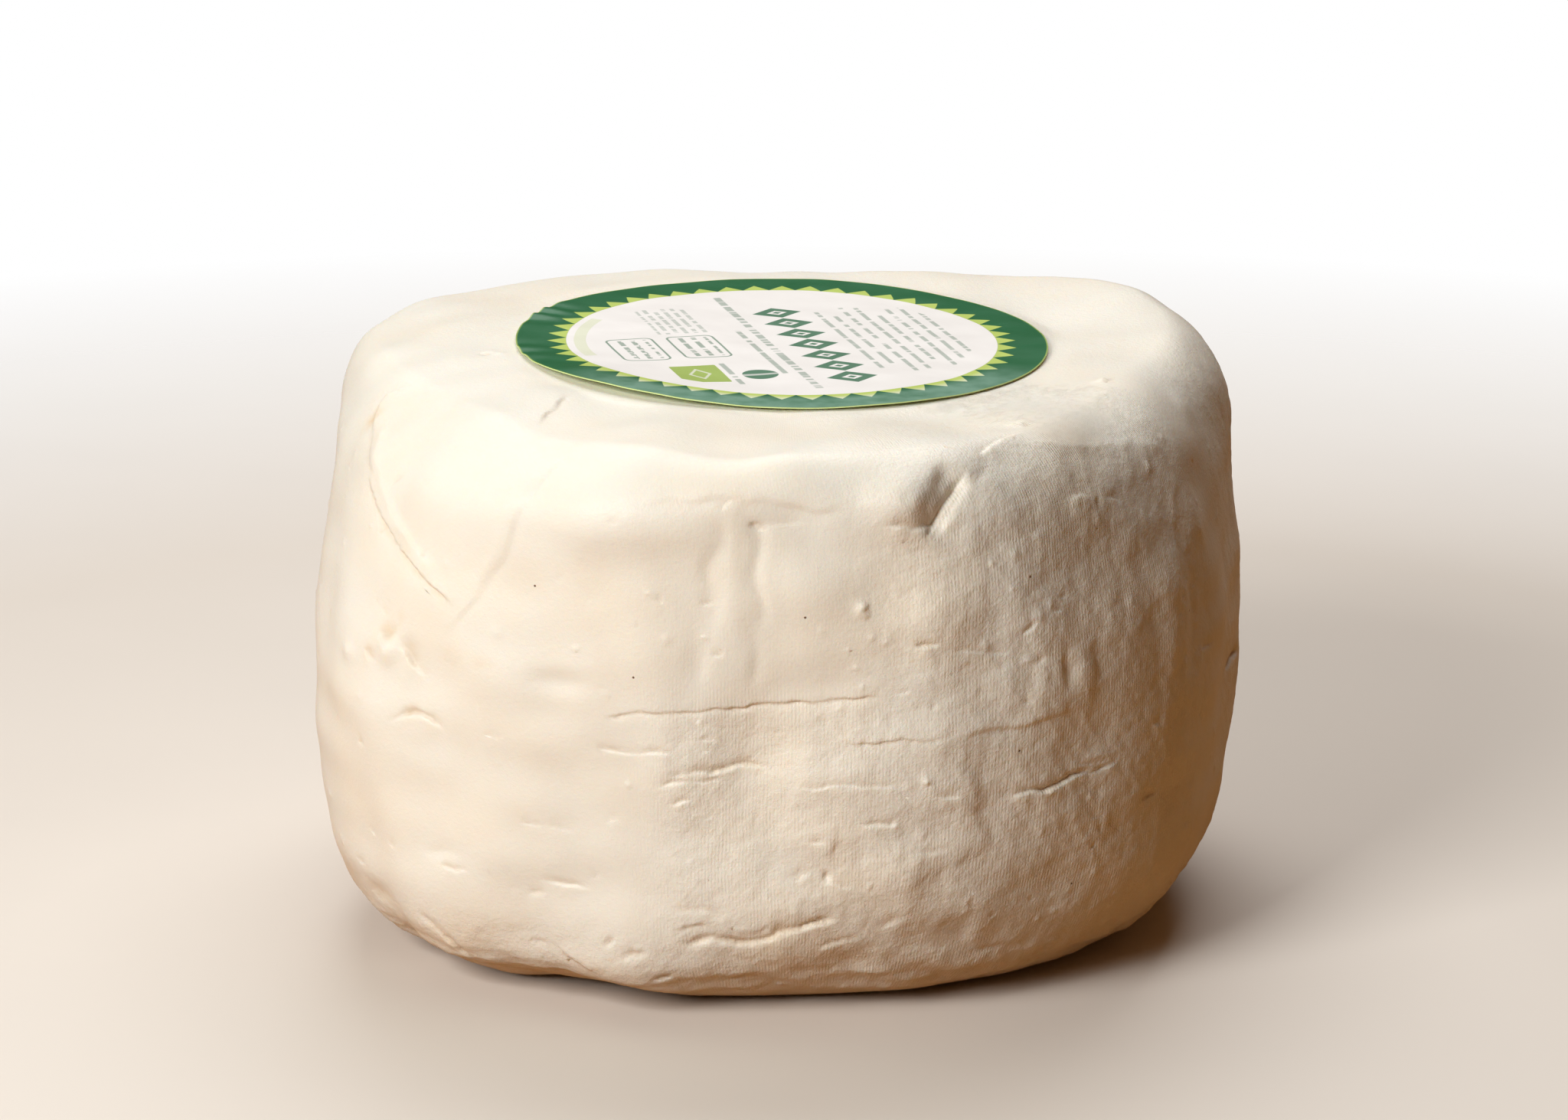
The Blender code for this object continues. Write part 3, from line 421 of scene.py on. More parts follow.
# Soft lights: name, degrees round from +X, degrees up, distance, side length and watts.
LIGHTS = (
    ("key", 232.0, 29.5, 1.1, 0.46, 12.1),
    ("left", 172.0, 10.0, 1.2, 0.90, 0.9),
    ("back", 85.0, 54.0, 1.1, 0.90, 9.8),
)
LIGHTS_AIM = 0.05  # height that the lights are turned to
SENSOR_WIDTH = 36.0
FLOOR_SIDES = 96
FLOOR_FADE = 0.55  # share of the floor's radius over which it fades out
MOTTLED_FLOOR = (0.8, 0.74, 0.66)


def amount(name, description, default, unit="NONE"):
    """A plain number that the user can change."""
    return FloatProperty(name=name, description=description, default=default, unit=unit)


def length(name, description, default):
    """A length that the user can change."""
    return FloatProperty(name=name, description=description, default=default, unit="LENGTH", precision=5)


def share(name, description, default):
    """A share from 0 to 1 that the user can change."""
    return FloatProperty(
        name=name, description=description, default=default, min=0.0, max=1.0, subtype="FACTOR"
    )


def colour(name, description, default):
    """A colour that the user can change, as linear light."""
    return FloatVectorProperty(
        name=name, description=description, default=default, size=3, min=0.0, max=1.0, subtype="COLOR"
    )


class RicottaWheelSettings(bpy.types.PropertyGroup):
    height: length("Height", "Height of the crown's middle", 0.1096)
    belly_height: length("Belly height", "Level at which the wheel is widest", 0.049)
    brow_radius: length("Brow radius", "Radius where the wall would meet the crown", 0.0869)
    belly_radius: length("Belly radius", "Radius at the widest level", 0.0928)
    foot_radius: length("Foot radius", "Radius where the wall would meet the base", 0.0868)
    curve_above: amount("Curve above", "Power of the draw-in from the belly to the brow", 2.36)
    curve_below: amount("Curve below", "Power of the draw-in from the belly to the foot", 1.38)
    shoulder_reach: length("Shoulder reach", "Width of the rounded top corner, from above", 0.0115)
    shoulder_drop: length("Shoulder drop", "Height of the rounded top corner", 0.014)
    foot_reach: length("Foot reach", "Width of the rounded bottom corner, from above", 0.023)
    foot_rise: length("Foot rise", "Height of the rounded bottom corner", 0.026)
    lift_height: length("Foot lift", "How far one stretch of the foot stands off the table", 0.0016)
    crumb_depth: amount("Crumb depth", "Strength of the curd's crumbs under the skin", 1.0)
    ribs: IntProperty(
        name="Cloth ribs", description="Threads of the cloth, counted round the wheel", default=890
    )
    rib_depth: length("Rib depth", "Depth of the threads' marks", 0.000020)
    grain_depth: length("Grain depth", "Depth of the fine grain", 0.00014)
    skin: colour("Skin", "Colour of the clean skin", (0.806, 0.78, 0.682))
    warm: colour("Warm skin", "Colour of the skin where it is drier", (0.80, 0.715, 0.565))
    # Painted shade: the brown that darkens the creases.
    crease_shade: colour("Crevice", "Colour deep inside the folds", (0.60, 0.43, 0.25))
    stain: colour("Stain", "Colour of the discoloured spots", (0.72, 0.50, 0.24))
    # Painted shade: the near-black inside the pinholes.
    pinhole_shade: colour("Pinhole", "Colour of the pinholes", (0.16, 0.09, 0.05))
    roughness: share("Roughness", "Roughness of the skin", 0.5)
    translucency: share("Translucency", "How much light scatters inside the curd", 0.3)
    scatter: length("Scatter", "Distance that the light travels inside the curd", 0.003)


class RicottaLabelSettings(bpy.types.PropertyGroup):
    radius: length("Radius", "Radius of the paper", 0.0524)
    thickness: length("Thickness", "Thickness of the paper", 0.00018)
    gap: length("Gap", "Air under the paper where it lies flat", 0.0003)
    wave: length("Wave", "Slow waves of the paper's edge", 0.00035)
    curl_height: length("Curl height", "How far the loose edge stands up", 0.0010)
    crinkle: length("Crinkle", "Short waves of the edge where the paper has cockled", 0.0007)
    field_radius: length("Field radius", "Radius of the white field", 0.0425)
    ray_radius: length("Ray radius", "Radius that the rays' tips reach", 0.0462)
    rays: IntProperty(name="Rays", description="Rays round the white field", default=50)
    row_turn: amount("Row turn", "Angle of the rows off the back-to-front line", 0.28, "ROTATION")
    paper: colour("Paper", "Colour of the white field", (0.93, 0.92, 0.895))
    border: colour("Border", "Colour of the green border", (0.005, 0.125, 0.043))
    ink: colour("Ink", "Colour of the small print", (0.09, 0.22, 0.14))
    # The ray colour is also the painted light along the paper's edge and on its underside.
    ray: colour("Ray", "Colour of the rays and the paper's edge", (0.52, 0.66, 0.15))
    # Painted sheen: the pale tone of the border in front.
    painted_sheen: colour("Faded", "Colour of the border where it has been rubbed, in front", (0.17, 0.34, 0.25))
    leaf: colour("Leaf", "Colour of the light green panel", (0.38, 0.52, 0.13))
    roughness: share("Roughness", "Roughness of the paper", 0.3)


class RicottaStageSettings(bpy.types.PropertyGroup):
    floor: colour("Floor", "Colour of the floor as seen", (0.72, 0.67, 0.60))
    glow: colour("Floor's glow", "Colour of the light that the floor throws back up", (0.37, 0.17, 0.045))
    floor_radius: length("Floor radius", "Radius at which the floor has faded away", 0.62)
    backdrop: colour("Backdrop", "Colour behind the floor", (1.0, 1.0, 1.0))
    room: colour("Room", "Colour of the light that comes from all round", (1.0, 0.50, 0.22))
    room_strength: amount("Room strength", "Strength of that light", 0.085)
    lens: amount("Lens", "Focal length of the camera, in mm", 115.23)
    camera_distance: length("Camera distance", "Distance of the camera in front of the wheel", 0.95995)
    camera_height: length("Camera height", "Height of the camera over the floor", 0.3325)
    camera_side: length("Camera side", "Offset of the camera to the right", -0.0006)
    camera_pitch: amount("Camera pitch", "How far the camera looks down", math.radians(15.48), "ROTATION")


# ---------------------------------------------------------------------------------------------- shape


def smooth_step(low, high, value):
    """0 below low, 1 above high, and an easy slope between them."""
    portion = np.clip((value - low) / (high - low), 0.0, 1.0)
    return portion * portion * (3.0 - 2.0 * portion)


def stretch(value, rise, fall):
    """1 on the stretch between a soft rise and a soft fall, 0 outside it."""
    return smooth_step(*rise, value) * (1.0 - smooth_step(*fall, value))


def lobes(angle, ring):
    """How far a ring stands out of round at each angle."""
    total = np.zeros_like(angle)
    for crests, depth, crest_at in ring:
        total = total + depth * MM * np.cos(crests * (angle - math.radians(crest_at)))
    return total


def wall_radius(size, angle, height):
    """Plan radius of the wall, corners left sharp: widest at the belly and drawn in above and below."""
    brow = size.brow_radius + lobes(angle, BROW_LOBES)
    belly = size.belly_radius + lobes(angle, BELLY_LOBES)
    foot = size.foot_radius + lobes(angle, FOOT_LOBES)
    above = np.clip((height - size.belly_height) / (size.height - size.belly_height), 0.0, 1.0)
    below = np.clip((size.belly_height - height) / size.belly_height, 0.0, 1.0)
    return belly + (brow - belly) * above**size.curve_above + (foot - belly) * below**size.curve_below


def wall_carried_on(size, angle, height, to_height):
    """Radius that the wall would reach at another height if it went straight on from this one."""
    step = 0.5 * MM
    lean = (wall_radius(size, angle, height + step) - wall_radius(size, angle, height - step)) / (2.0 * step)
    return wall_radius(size, angle, height) + lean * (to_height - height)


def corner(start, sharp, end, rings):
    """Rings (radius, height) of a rounded corner from start to end; sharp is where the two would meet."""
    made = []
    for t in np.linspace(0.0, 1.0, rings):
        weights = ((1.0 - t) ** 2, 2.0 * ROUND_CORNER * t * (1.0 - t), t * t)
        total = sum(weights)
        made.append(
            tuple(
                sum(weight * point[axis] for weight, point in zip(weights, (start, sharp, end))) / total
                for axis in (0, 1)
            )
        )
    return made


def column_angles():
    """Angles of the columns, closer together in front."""
    even = np.linspace(0.0, TURN, COLUMNS, endpoint=False)
    return even - FRONT_CROWDING * np.sin(even - FRONT)


def bare_rings(size, angle):
    """The wheel without its relief: rings (radius, height) from inside the base up and in over the crown."""
    level = np.ones_like(angle)
    brow_height = size.height - size.shoulder_drop
    foot_corner = wall_carried_on(size, angle, size.foot_rise, 0.0)
    brow_corner = wall_carried_on(size, angle, brow_height, size.height)
    base_edge = foot_corner - size.foot_reach
    crown_edge = brow_corner - size.shoulder_reach
    insets = np.linspace(LIFT_INSET, 0.0, BASE_RINGS + 1)[:-1]
    wall = [
        (wall_radius(size, angle, height * level), height * level)
        for height in np.linspace(size.foot_rise, brow_height, WALL_RINGS)
    ]
    table, top = 0.0 * level, size.height * level
    rings = [(radius, table) for radius in (base_edge * 0.5, *(base_edge - inset for inset in insets))]
    rings += corner((base_edge, table), (foot_corner, table), wall[0], FOOT_RINGS)
    rings += wall[1:-1]
    rings += corner(wall[-1], (brow_corner, top), (crown_edge, top), SHOULDER_RINGS)
    rim = np.linspace(1.0, RIM_SHARE, RIM_RINGS)[1:]
    centre = np.linspace(RIM_SHARE, 0.0, CENTRE_RINGS + 1)[1:-1]
    rings += [(crown_edge * reach, top) for reach in (*rim, *centre)]
    return rings, base_edge


def foot_lift(size, angle):
    """How far the foot stands off the table at each angle."""
    degrees = np.degrees(angle) % 360.0
    middle = 0.5 * (LIFT_FROM + LIFT_TO)
    portion = np.clip(1.0 - np.abs(degrees - middle) / (0.5 * (LIFT_TO - LIFT_FROM)), 0.0, 1.0)
    return size.lift_height * smooth_step(0.0, 0.6, portion)


def crown_rise(x, y, label_radius):
    """Height that the crown's slopes add at a point in plan: the label's seat, run out into the rim."""
    rim = RIM_SLOPE[0] * x + RIM_SLOPE[1] * y
    from_x = x - LABEL_CENTRE[0]
    from_y = y - LABEL_CENTRE[1]
    seat = SEAT_SLOPE[0] * from_x + SEAT_SLOPE[1] * from_y
    run_out = smooth_step(label_radius + PRESSED_RIM, SEAT_OUT_TO, np.hypot(from_x, from_y))
    return seat + (rim - seat) * run_out


def bare_skin(size, label_radius):
    """The rings as a grid of points, rings by columns, and the outward normal at each."""
    angle = column_angles()
    rings, base_edge = bare_rings(size, angle)
    radius = np.array([ring[0] for ring in rings])
    height = np.array([ring[1] for ring in rings])
    under_foot = smooth_step(0.0, LIFT_INSET, radius - (base_edge - LIFT_INSET))
    height = height + foot_lift(size, angle) * under_foot * (1.0 - smooth_step(0.0, LIFT_FADE, height))
    x = radius * np.cos(angle)
    y = radius * np.sin(angle)
    height = height + crown_rise(x, y, label_radius) * (height / size.height) ** 2
    points = np.stack([x, y, height], axis=-1)
    around = np.roll(points, -1, axis=1) - np.roll(points, 1, axis=1)
    upward = np.gradient(points, axis=0)
    normals = np.cross(around, upward)
    normals /= np.linalg.norm(normals, axis=-1, keepdims=True)
    return points, normals


def skin_place(points, degrees, height):
    """Point of the wall at an angle and a height, both read off the grid."""
    turn = math.radians(degrees)
    facing = points[len(points) // 2, :, :2] @ np.array([math.cos(turn), math.sin(turn)])
    off_line = points[len(points) // 2, :, :2] @ np.array([-math.sin(turn), math.cos(turn)])
    column = int(np.argmin(np.where(facing > 0.0, np.abs(off_line), np.inf)))
    line = points[:, column]
    wall = slice(int(np.argmax(line[:, 2] > 0.5 * MM)), int(np.argmax(line[:, 2])) + 1)
    radius = np.interp(height * MM, line[wall, 2], np.hypot(line[wall, 0], line[wall, 1]))
    return np.array([radius * math.cos(turn), radius * math.sin(turn), height * MM])


def crown_place(size, label_radius, degrees, reach):
    """Point of the crown at an angle and a distance from the middle."""
    turn = math.radians(degrees)
    x = reach * MM * math.cos(turn)
    y = reach * MM * math.sin(turn)
    return np.array([x, y, size.height + crown_rise(x, y, label_radius)])


def eased(path, passes=2):
    """The path with its bends cut back, so that a fold runs in a curve through its few points."""
    path = np.array(path, dtype=float)
    for _ in range(passes):
        cut = np.empty((2 * (len(path) - 1), path.shape[1]))
        cut[0::2] = 0.75 * path[:-1] + 0.25 * path[1:]
        cut[1::2] = 0.25 * path[:-1] + 0.75 * path[1:]
        path = np.vstack([path[:1], cut, path[-1:]])
    return path


def ripple(points, wavelength, seed):
    """Unevenness of about unit height: a few waves in random directions, added up."""
    draw = np.random.default_rng(seed)
    directions = draw.normal(size=(WAVES_IN_A_LAYER, 3))
    directions /= np.linalg.norm(directions, axis=1, keepdims=True)
    phases = draw.uniform(0.0, TURN, WAVES_IN_A_LAYER)
    stretches = draw.uniform(0.7, 1.4, WAVES_IN_A_LAYER)
    waves = np.sin(points @ directions.T * (TURN / wavelength) * stretches + phases)
    return waves.sum(axis=1) / math.sqrt(0.5 * WAVES_IN_A_LAYER)


def layered(points, layers):
    """Layers of unevenness added up."""
    return sum(height * ripple(points, wavelength, seed) for wavelength, height, seed in layers)


def ebb(points, mean, change, wavelength, seed, least):
    """Share of its depth that a fold has at each point."""
    return np.clip(mean + change * ripple(points, wavelength, seed), least, MOST_EBB)


def near_box(points, low, high, reach):
    """Which points lie within reach of a box."""
    return np.flatnonzero(np.all((points > low - reach) & (points < high + reach), axis=1))


def along_line(line, spots, facing):
    """For each spot: distance to the line, which side it is on, distance along, and the line's length."""
    lengths = np.linalg.norm(np.diff(line, axis=0), axis=1)
    nearest = np.full(len(spots), np.inf)
    side = np.zeros(len(spots))
    along = np.zeros(len(spots))
    for i, (start, end) in enumerate(zip(line[:-1], line[1:])):
        run = end - start
        portion = np.clip((spots - start) @ run / (run @ run), 0.0, 1.0)
        away = spots - start - portion[:, None] * run
        distance = np.linalg.norm(away, axis=1)
        left = np.cross(facing, run)
        closer = distance < nearest
        nearest[closer] = distance[closer]
        side[closer] = np.sign((away * left).sum(axis=1))[closer]
        along[closer] = (lengths[:i].sum() + portion * lengths[i])[closer]
    return nearest, side, along, lengths.sum()


def fold_relief(points, normals, line, depth, half_width, above, below):
    """Points near one fold, their relief, and the painted shade that its groove gives them, from 0 to 1."""
    reach = 4.0 * half_width + 3.0 * MM
    near = near_box(points, line.min(axis=0), line.max(axis=0), reach)
    spots = points[near]
    nearest, side, along, total = along_line(line, spots, normals[near])
    fade = min(FOLD_FADE, 0.4 * total)
    strength = smooth_step(0.0, fade, along) * smooth_step(0.0, fade, total - along)
    across = nearest * side
    fine = half_width < FINE_FOLD
    if fine:
        for wavelength, wander, seed in CREASE_WANDER:
            across = across + wander * ripple(spots, wavelength, seed)
        strength = strength * ebb(spots, *CREASE_EBB)
    else:
        across = across + 0.25 * half_width * ripple(spots, *HOLLOW_WANDER)
        strength = strength * ebb(spots, *HOLLOW_EBB)
    rolled = fine & ((across > 0.0) == (below >= above))
    groove_width = half_width * np.where(rolled, ROLLED_SIDE, 1.0)
    inside = np.exp(-(np.abs(across) / groove_width) ** (CREASE_SHAPE if fine else HOLLOW_SHAPE))
    falling_off = np.exp(-nearest / (2.5 * half_width + 1.0 * MM))
    falling_off = falling_off * (1.0 - smooth_step(0.5 * reach, reach, nearest))
    upper = smooth_step(-0.4 * half_width, 0.8 * half_width, across)
    lower = smooth_step(-0.4 * half_width, 0.8 * half_width, -across)
    relief = strength * (falling_off * (above * upper + below * lower) - depth * inside)
    # Painted shade inside the groove: deeper grooves are darker, and wide hollows get only a little.
    depth_share = np.clip(depth / DARK_DEPTH, 0.0, 1.0)
    darkness = depth_share if fine else 0.25 * depth_share**2
    return near, relief, inside * strength * darkness


def swell_relief(points, centre, height, half_round, half_up):
    """Points near one swelling, and its relief there; a dent where height is below zero."""
    near = near_box(points, centre, centre, 3.0 * max(half_round, half_up))
    away = points[near] - centre
    outward = np.array([centre[0], centre[1], 0.0])
    outward /= np.linalg.norm(outward)
    round_about = np.array([-outward[1], outward[0], 0.0])
    across = away @ round_about
    rest = np.linalg.norm(away - across[:, None] * round_about, axis=1)
    return near, height * np.exp(-((across / half_round) ** 2) - (rest / half_up) ** 2)


def back_folds():
    """Folds for the unseen side, drawn at random but always alike: mostly level, a few upright."""
    draw = np.random.default_rng(BACK_FOLD_SEED)
    folds = []
    for i in range(BACK_FOLDS):
        turn = BACK_FROM + (BACK_TO - BACK_FROM) * (i + draw.uniform(0.1, 0.9)) / BACK_FOLDS
        height = draw.uniform(12.0, 88.0)
        half = draw.uniform(3.0, 9.0)
        rise = draw.uniform(-2.0, 3.0)
        bow = draw.uniform(-1.5, 1.5)
        if i % UPRIGHT_AMONG == 3:
            path = ((turn, height + 2.0 * half), (turn + bow, height), (turn - bow, height - half))
        else:
            path = ((turn - half, height), (turn, height + bow), (turn + half, height + rise))
        depth, half_width = draw.uniform(0.45, 1.0), draw.uniform(0.8, 1.4) * 0.6
        folds.append((path, depth, half_width, 0.1, draw.uniform(0.2, 0.5)))
    return folds


def nicks():
    """Short shallow tears all over the wall."""
    draw = np.random.default_rng(NICK_SEED)
    made = []
    for _ in range(NICKS):
        turn = draw.uniform(0.0, 360.0)
        height = draw.uniform(6.0, 98.0)
        half = draw.uniform(0.4, 1.7)
        rise = draw.normal(0.0, 0.35) * half
        run = half / DEGREE_OF_WALL
        middle = (turn, height + draw.uniform(-0.2, 0.2))
        path = ((turn - run, height - rise), middle, (turn + run, height + rise))
        depth, half_width = draw.uniform(0.06, 0.24), draw.uniform(0.30, 0.50)
        made.append((path, depth, half_width, 0.0, draw.uniform(0.05, 0.18)))
    return made


def pimples():
    """Small crumbs that press up through the skin, more of them on the right."""
    draw = np.random.default_rng(NICK_SEED + 1)
    made = []
    for _ in range(PIMPLES):
        turn = draw.uniform(*PIMPLED) if draw.random() < 0.4 else draw.uniform(0.0, 360.0)
        half = draw.uniform(0.45, 1.0)
        height = draw.uniform(8.0, 102.0)
        made.append((turn, height, draw.uniform(0.08, 0.24), half, half * draw.uniform(0.8, 1.2)))
    return made


def crumbly(degrees, height):
    """Where the curd shows its crumbs: on the right, low in front and along the foot."""
    right = stretch(degrees, *CRUMBLY_RIGHT)
    low_front = stretch(degrees, *CRUMBLY_FRONT) * (1.0 - smooth_step(*CRUMBLY_FRONT_TOP, height))
    foot = 0.7 * (1.0 - smooth_step(*CRUMBLY_FOOT_TOP, height)) * smooth_step(185.0, 205.0, degrees)
    behind = 0.55 * (smooth_step(340.0, 352.0, degrees) + 1.0 - smooth_step(150.0, 185.0, degrees))
    return np.clip(CRUMBLY_ANYWHERE + right + low_front + foot + behind, 0.0, 1.0)


def clothed(degrees, height):
    """Where the cloth's threads show: strong right of the middle and low in front, none on the left."""
    upper_front = (1.0 - smooth_step(280.0, 289.0, degrees)) * smooth_step(62.0, 72.0, height)
    front = smooth_step(249.0, 262.0, degrees) * (1.0 - 0.85 * smooth_step(331.0, 337.0, degrees))
    front = front * (1.0 - 0.72 * upper_front) * (1.0 - smooth_step(345.0, 350.0, degrees))
    behind = 0.7 * smooth_step(350.0, 358.0, degrees) + 0.7 * (1.0 - smooth_step(120.0, 165.0, degrees))
    return np.clip(front + behind, 0.0, 1.0) * smooth_step(1.0, 8.0, height)


def ribbed_shoulder(degrees, height):
    """Where the threads bit deepest: the slope over the right shoulder."""
    return stretch(degrees, *RIBBED_ROUND) * stretch(height, *RIBBED_UP)


def round_and_up(points):
    """Degrees round the wheel and mm up of each point, as the tables count them."""
    return np.degrees(np.arctan2(points[:, 1], points[:, 0])) % 360.0, points[:, 2] / MM


def worked_skin(size, label_radius, points, normals, folds, swells):
    """Relief of the points and the painted shade of their creases; the base and the label's seat stay plain.
    """
    relief = np.zeros(len(points))
    crease_shade = np.zeros(len(points))
    for line, numbers in folds:
        near, rise, inside = fold_relief(points, normals, line, *numbers)
        relief[near] += rise
        crease_shade[near] = np.maximum(crease_shade[near], inside)
    for centre, numbers in swells:
        near, rise = swell_relief(points, centre, *numbers)
        relief[near] += rise
    for wavelength, lump, seed in LUMPS:
        relief += lump * ripple(points, wavelength, seed)
    degrees, height = round_and_up(points)
    on_wall = 1.0 - 0.85 * smooth_step(102.0, 110.0, height)
    relief += size.crumb_depth * layered(points, CRUMBS) * crumbly(degrees, height) * on_wall
    relief += layered(points * (1.0, 1.0, PLEAT_STRETCH), PLEATS) * clothed(degrees, height) * on_wall
    streaks = layered(points * (STREAK_STRETCH, STREAK_STRETCH, 1.0), STREAKS)
    relief += streaks * (1.0 - smooth_step(0.5 * STREAKS_UP_TO, STREAKS_UP_TO, height))
    from_label = np.hypot(points[:, 0] - LABEL_CENTRE[0], points[:, 1] - LABEL_CENTRE[1])
    relief *= smooth_step(RELIEF_FROM_LABEL, RELIEF_FULL_FROM_LABEL, from_label - label_radius)
    over_base = points[:, 2] - foot_lift(size, np.arctan2(points[:, 1], points[:, 0]))
    relief *= smooth_step(0.0, RELIEF_OVER_BASE, over_base)
    return relief, crease_shade


def relief_parts(size, label_radius, grid):
    """Every fold and every swelling, set on the bare skin, with its numbers in metres."""
    folds = []
    for path, *numbers in WALL_CREASES + WALL_HOLLOWS + tuple(back_folds()) + tuple(nicks()):
        line = np.array([skin_place(grid, *place) for place in eased(path)])
        folds.append((line, [number * MM for number in numbers]))
    for path, *numbers in CROWN_FOLDS:
        line = np.array([crown_place(size, label_radius, *place) for place in eased(path)])
        folds.append((line, [number * MM for number in numbers]))
    swells = []
    for degrees, height, *numbers in HAND_PRESSES + WALL_SWELLS + tuple(pimples()):
        swells.append((skin_place(grid, degrees, height), [number * MM for number in numbers]))
    for degrees, reach, rise, half in CROWN_SWELLS:
        swells.append((crown_place(size, label_radius, degrees, reach), (rise * MM, half * MM, half * MM)))
    return folds, swells


def closed_mesh(name, grid, first, last):
    """Mesh of a grid of rings by columns, closed by a fan round the first point and one round the last."""
    rings, columns, _ = grid.shape
    vertices = np.concatenate([[first], grid.reshape(-1, 3), [last]])
    column = np.arange(columns)
    following = (column + 1) % columns
    low = 1 + np.arange(rings - 1)[:, None] * columns
    high = low + columns
    quads = np.stack([low + column, low + following, high + following, high + column], axis=-1)
    quads = quads.reshape(-1, 4)
    top = 1 + (rings - 1) * columns
    fans = np.concatenate(
        [
            np.stack([np.zeros_like(column), 1 + following, 1 + column], axis=-1),
            np.stack([top + column, top + following, np.full_like(column, len(vertices) - 1)], axis=-1),
        ]
    )
    mesh = bpy.data.meshes.new(name)
    mesh.from_pydata(vertices.tolist(), [], quads.tolist() + fans.tolist())
    mesh.shade_smooth()
    return mesh


def new_object(name, mesh):
    """A new object in the scene that shows the mesh."""
    made = bpy.data.objects.new(name, mesh)
    bpy.context.scene.collection.objects.link(made)
    return made


def thin_out(wheel, triangles_left):
    """Merge the even stretches into larger faces, so that the faces left gather in the folds and corners."""
    triangles = sum(len(face.vertices) - 2 for face in wheel.data.polygons)
    thinner = wheel.modifiers.new("thinner", "DECIMATE")
    thinner.ratio = triangles_left / triangles
    depsgraph = bpy.context.evaluated_depsgraph_get()
    thinned = bpy.data.meshes.new_from_object(wheel.evaluated_get(depsgraph))
    wheel.modifiers.clear()
    fine = wheel.data
    wheel.data = thinned
    bpy.data.meshes.remove(fine)
    thinned.name = wheel.name
    thinned.shade_smooth()


def read_points(mesh):
    """The mesh's vertices, one row each."""
    points = np.empty(len(mesh.vertices) * 3)
    mesh.vertices.foreach_get("co", points)
    return points.reshape(-1, 3)


def fit_to_box(mesh, node):
    """Scale and shift the mesh by a hair, so that it fills the CAD node's box and stays inside it."""
    points = read_points(mesh)
    low, high = points.min(axis=0), points.max(axis=0)
    box_low, box_high = (np.array(corner_point) for corner_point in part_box(node))
    fitted = box_low + (points - low) * (box_high - box_low) / (high - low)
    mesh.vertices.foreach_set("co", fitted.ravel())
    mesh.update()


def note(mesh, name, values):
    """Store one number for each vertex, for the material to read."""
    mesh.attributes.new(name, "FLOAT", "POINT").data.foreach_set("value", values.astype(np.float32))


def take_note(mesh, name):
    """Read a note back off the mesh and remove it."""
    values = np.empty(len(mesh.vertices), dtype=np.float32)
    mesh.attributes[name].data.foreach_get("value", values)
    mesh.attributes.remove(mesh.attributes[name])
    return values


def note_finish(mesh, grid, crease_shades):
    """Note on the finished mesh where the painted crease shade, the stains and the cloth marks are."""
    points = read_points(mesh)
    stain = np.zeros(len(points))
    for turn, up, half_round, half_up, strength in STAINS:
        middle = skin_place(grid, turn, up)
        near, spot = swell_relief(points, middle, strength, half_round * MM, half_up * MM)
        stain[near] = np.maximum(stain[near], spot)
    note(mesh, "crease_shade", crease_shades)
    note(mesh, "stain", stain)
    degrees, height = round_and_up(points)
    for name, mask in (("cloth", clothed), ("shoulder", ribbed_shoulder), ("crumbly", crumbly)):
        note(mesh, name, mask(degrees, height))


def make_wheel(size, label_radius):
    """The cheese itself, one closed solid, in place of the plain one."""
    grid, normals = bare_skin(size, label_radius)
    points = grid.reshape(-1, 3)
    outward = normals.reshape(-1, 3)
    folds, swells = relief_parts(size, label_radius, grid)
    relief, crease_shade = worked_skin(size, label_radius, points, outward, folds, swells)
    worked = points + outward * relief[:, None]
    crown_middle = (0.0, 0.0, size.height + float(crown_rise(0.0, 0.0, label_radius)))
    mesh = closed_mesh("ricotta_wheel", worked.reshape(grid.shape), (0.0, 0.0, 0.0), crown_middle)
    note(mesh, "crease_shade_fine", np.concatenate([[0.0], crease_shade, [0.0]]))
    wheel = new_object("ricotta_wheel", mesh)
    thin_out(wheel, WHEEL_TRIANGLES)
    note_finish(wheel.data, grid, take_note(wheel.data, "crease_shade_fine"))
    fit_to_box(wheel.data, "cheese")
    wheel.data.materials.append(skin_material(size))
    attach(wheel, "root")
    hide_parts("cheese")


# -------------------------------------------------------------------------------------------- the label


def at_edge(size, reach, degrees, middle, spread, inset):
    """1 at the paper's edge in one direction, less to either side and further in."""
    off = np.abs((degrees - middle + 180.0) % 360.0 - 180.0)
    return (1.0 - smooth_step(0.0, spread, off)) * smooth_step(size.radius - inset, size.radius, reach)


def label_height(wheel, size, x, y):
    """Height of the label's underside: laid on the crown, a little wavy, its edge curling up on one side."""
    reach = np.hypot(x, y)
    turn = np.arctan2(y, x)
    degrees = np.degrees(turn)
    curl = at_edge(size, reach, degrees, CURL_AT, CURL_SPREAD, CURL_INSET)
    cockled = at_edge(size, reach, degrees, COCKLE_AT, COCKLE_SPREAD, COCKLE_INSET)
    cockle = 0.5 + 0.5 * np.sin(COCKLES * turn + 2.0 * np.sin(7.0 * turn) + 1.5 * np.sin(11.0 * turn + 1.0))
    cockle = cockle * (0.65 + 0.35 * np.sin(9.0 * turn + 2.0))
    wave = (0.5 + 0.5 * np.sin(LABEL_WAVES * turn + LABEL_WAVE_TURN)) * (reach / size.radius) ** 3
    bed = wheel.height + crown_rise(x + LABEL_CENTRE[0], y + LABEL_CENTRE[1], size.radius)
    return bed + size.gap + size.wave * wave + size.curl_height * curl + size.crinkle * cockle * cockled


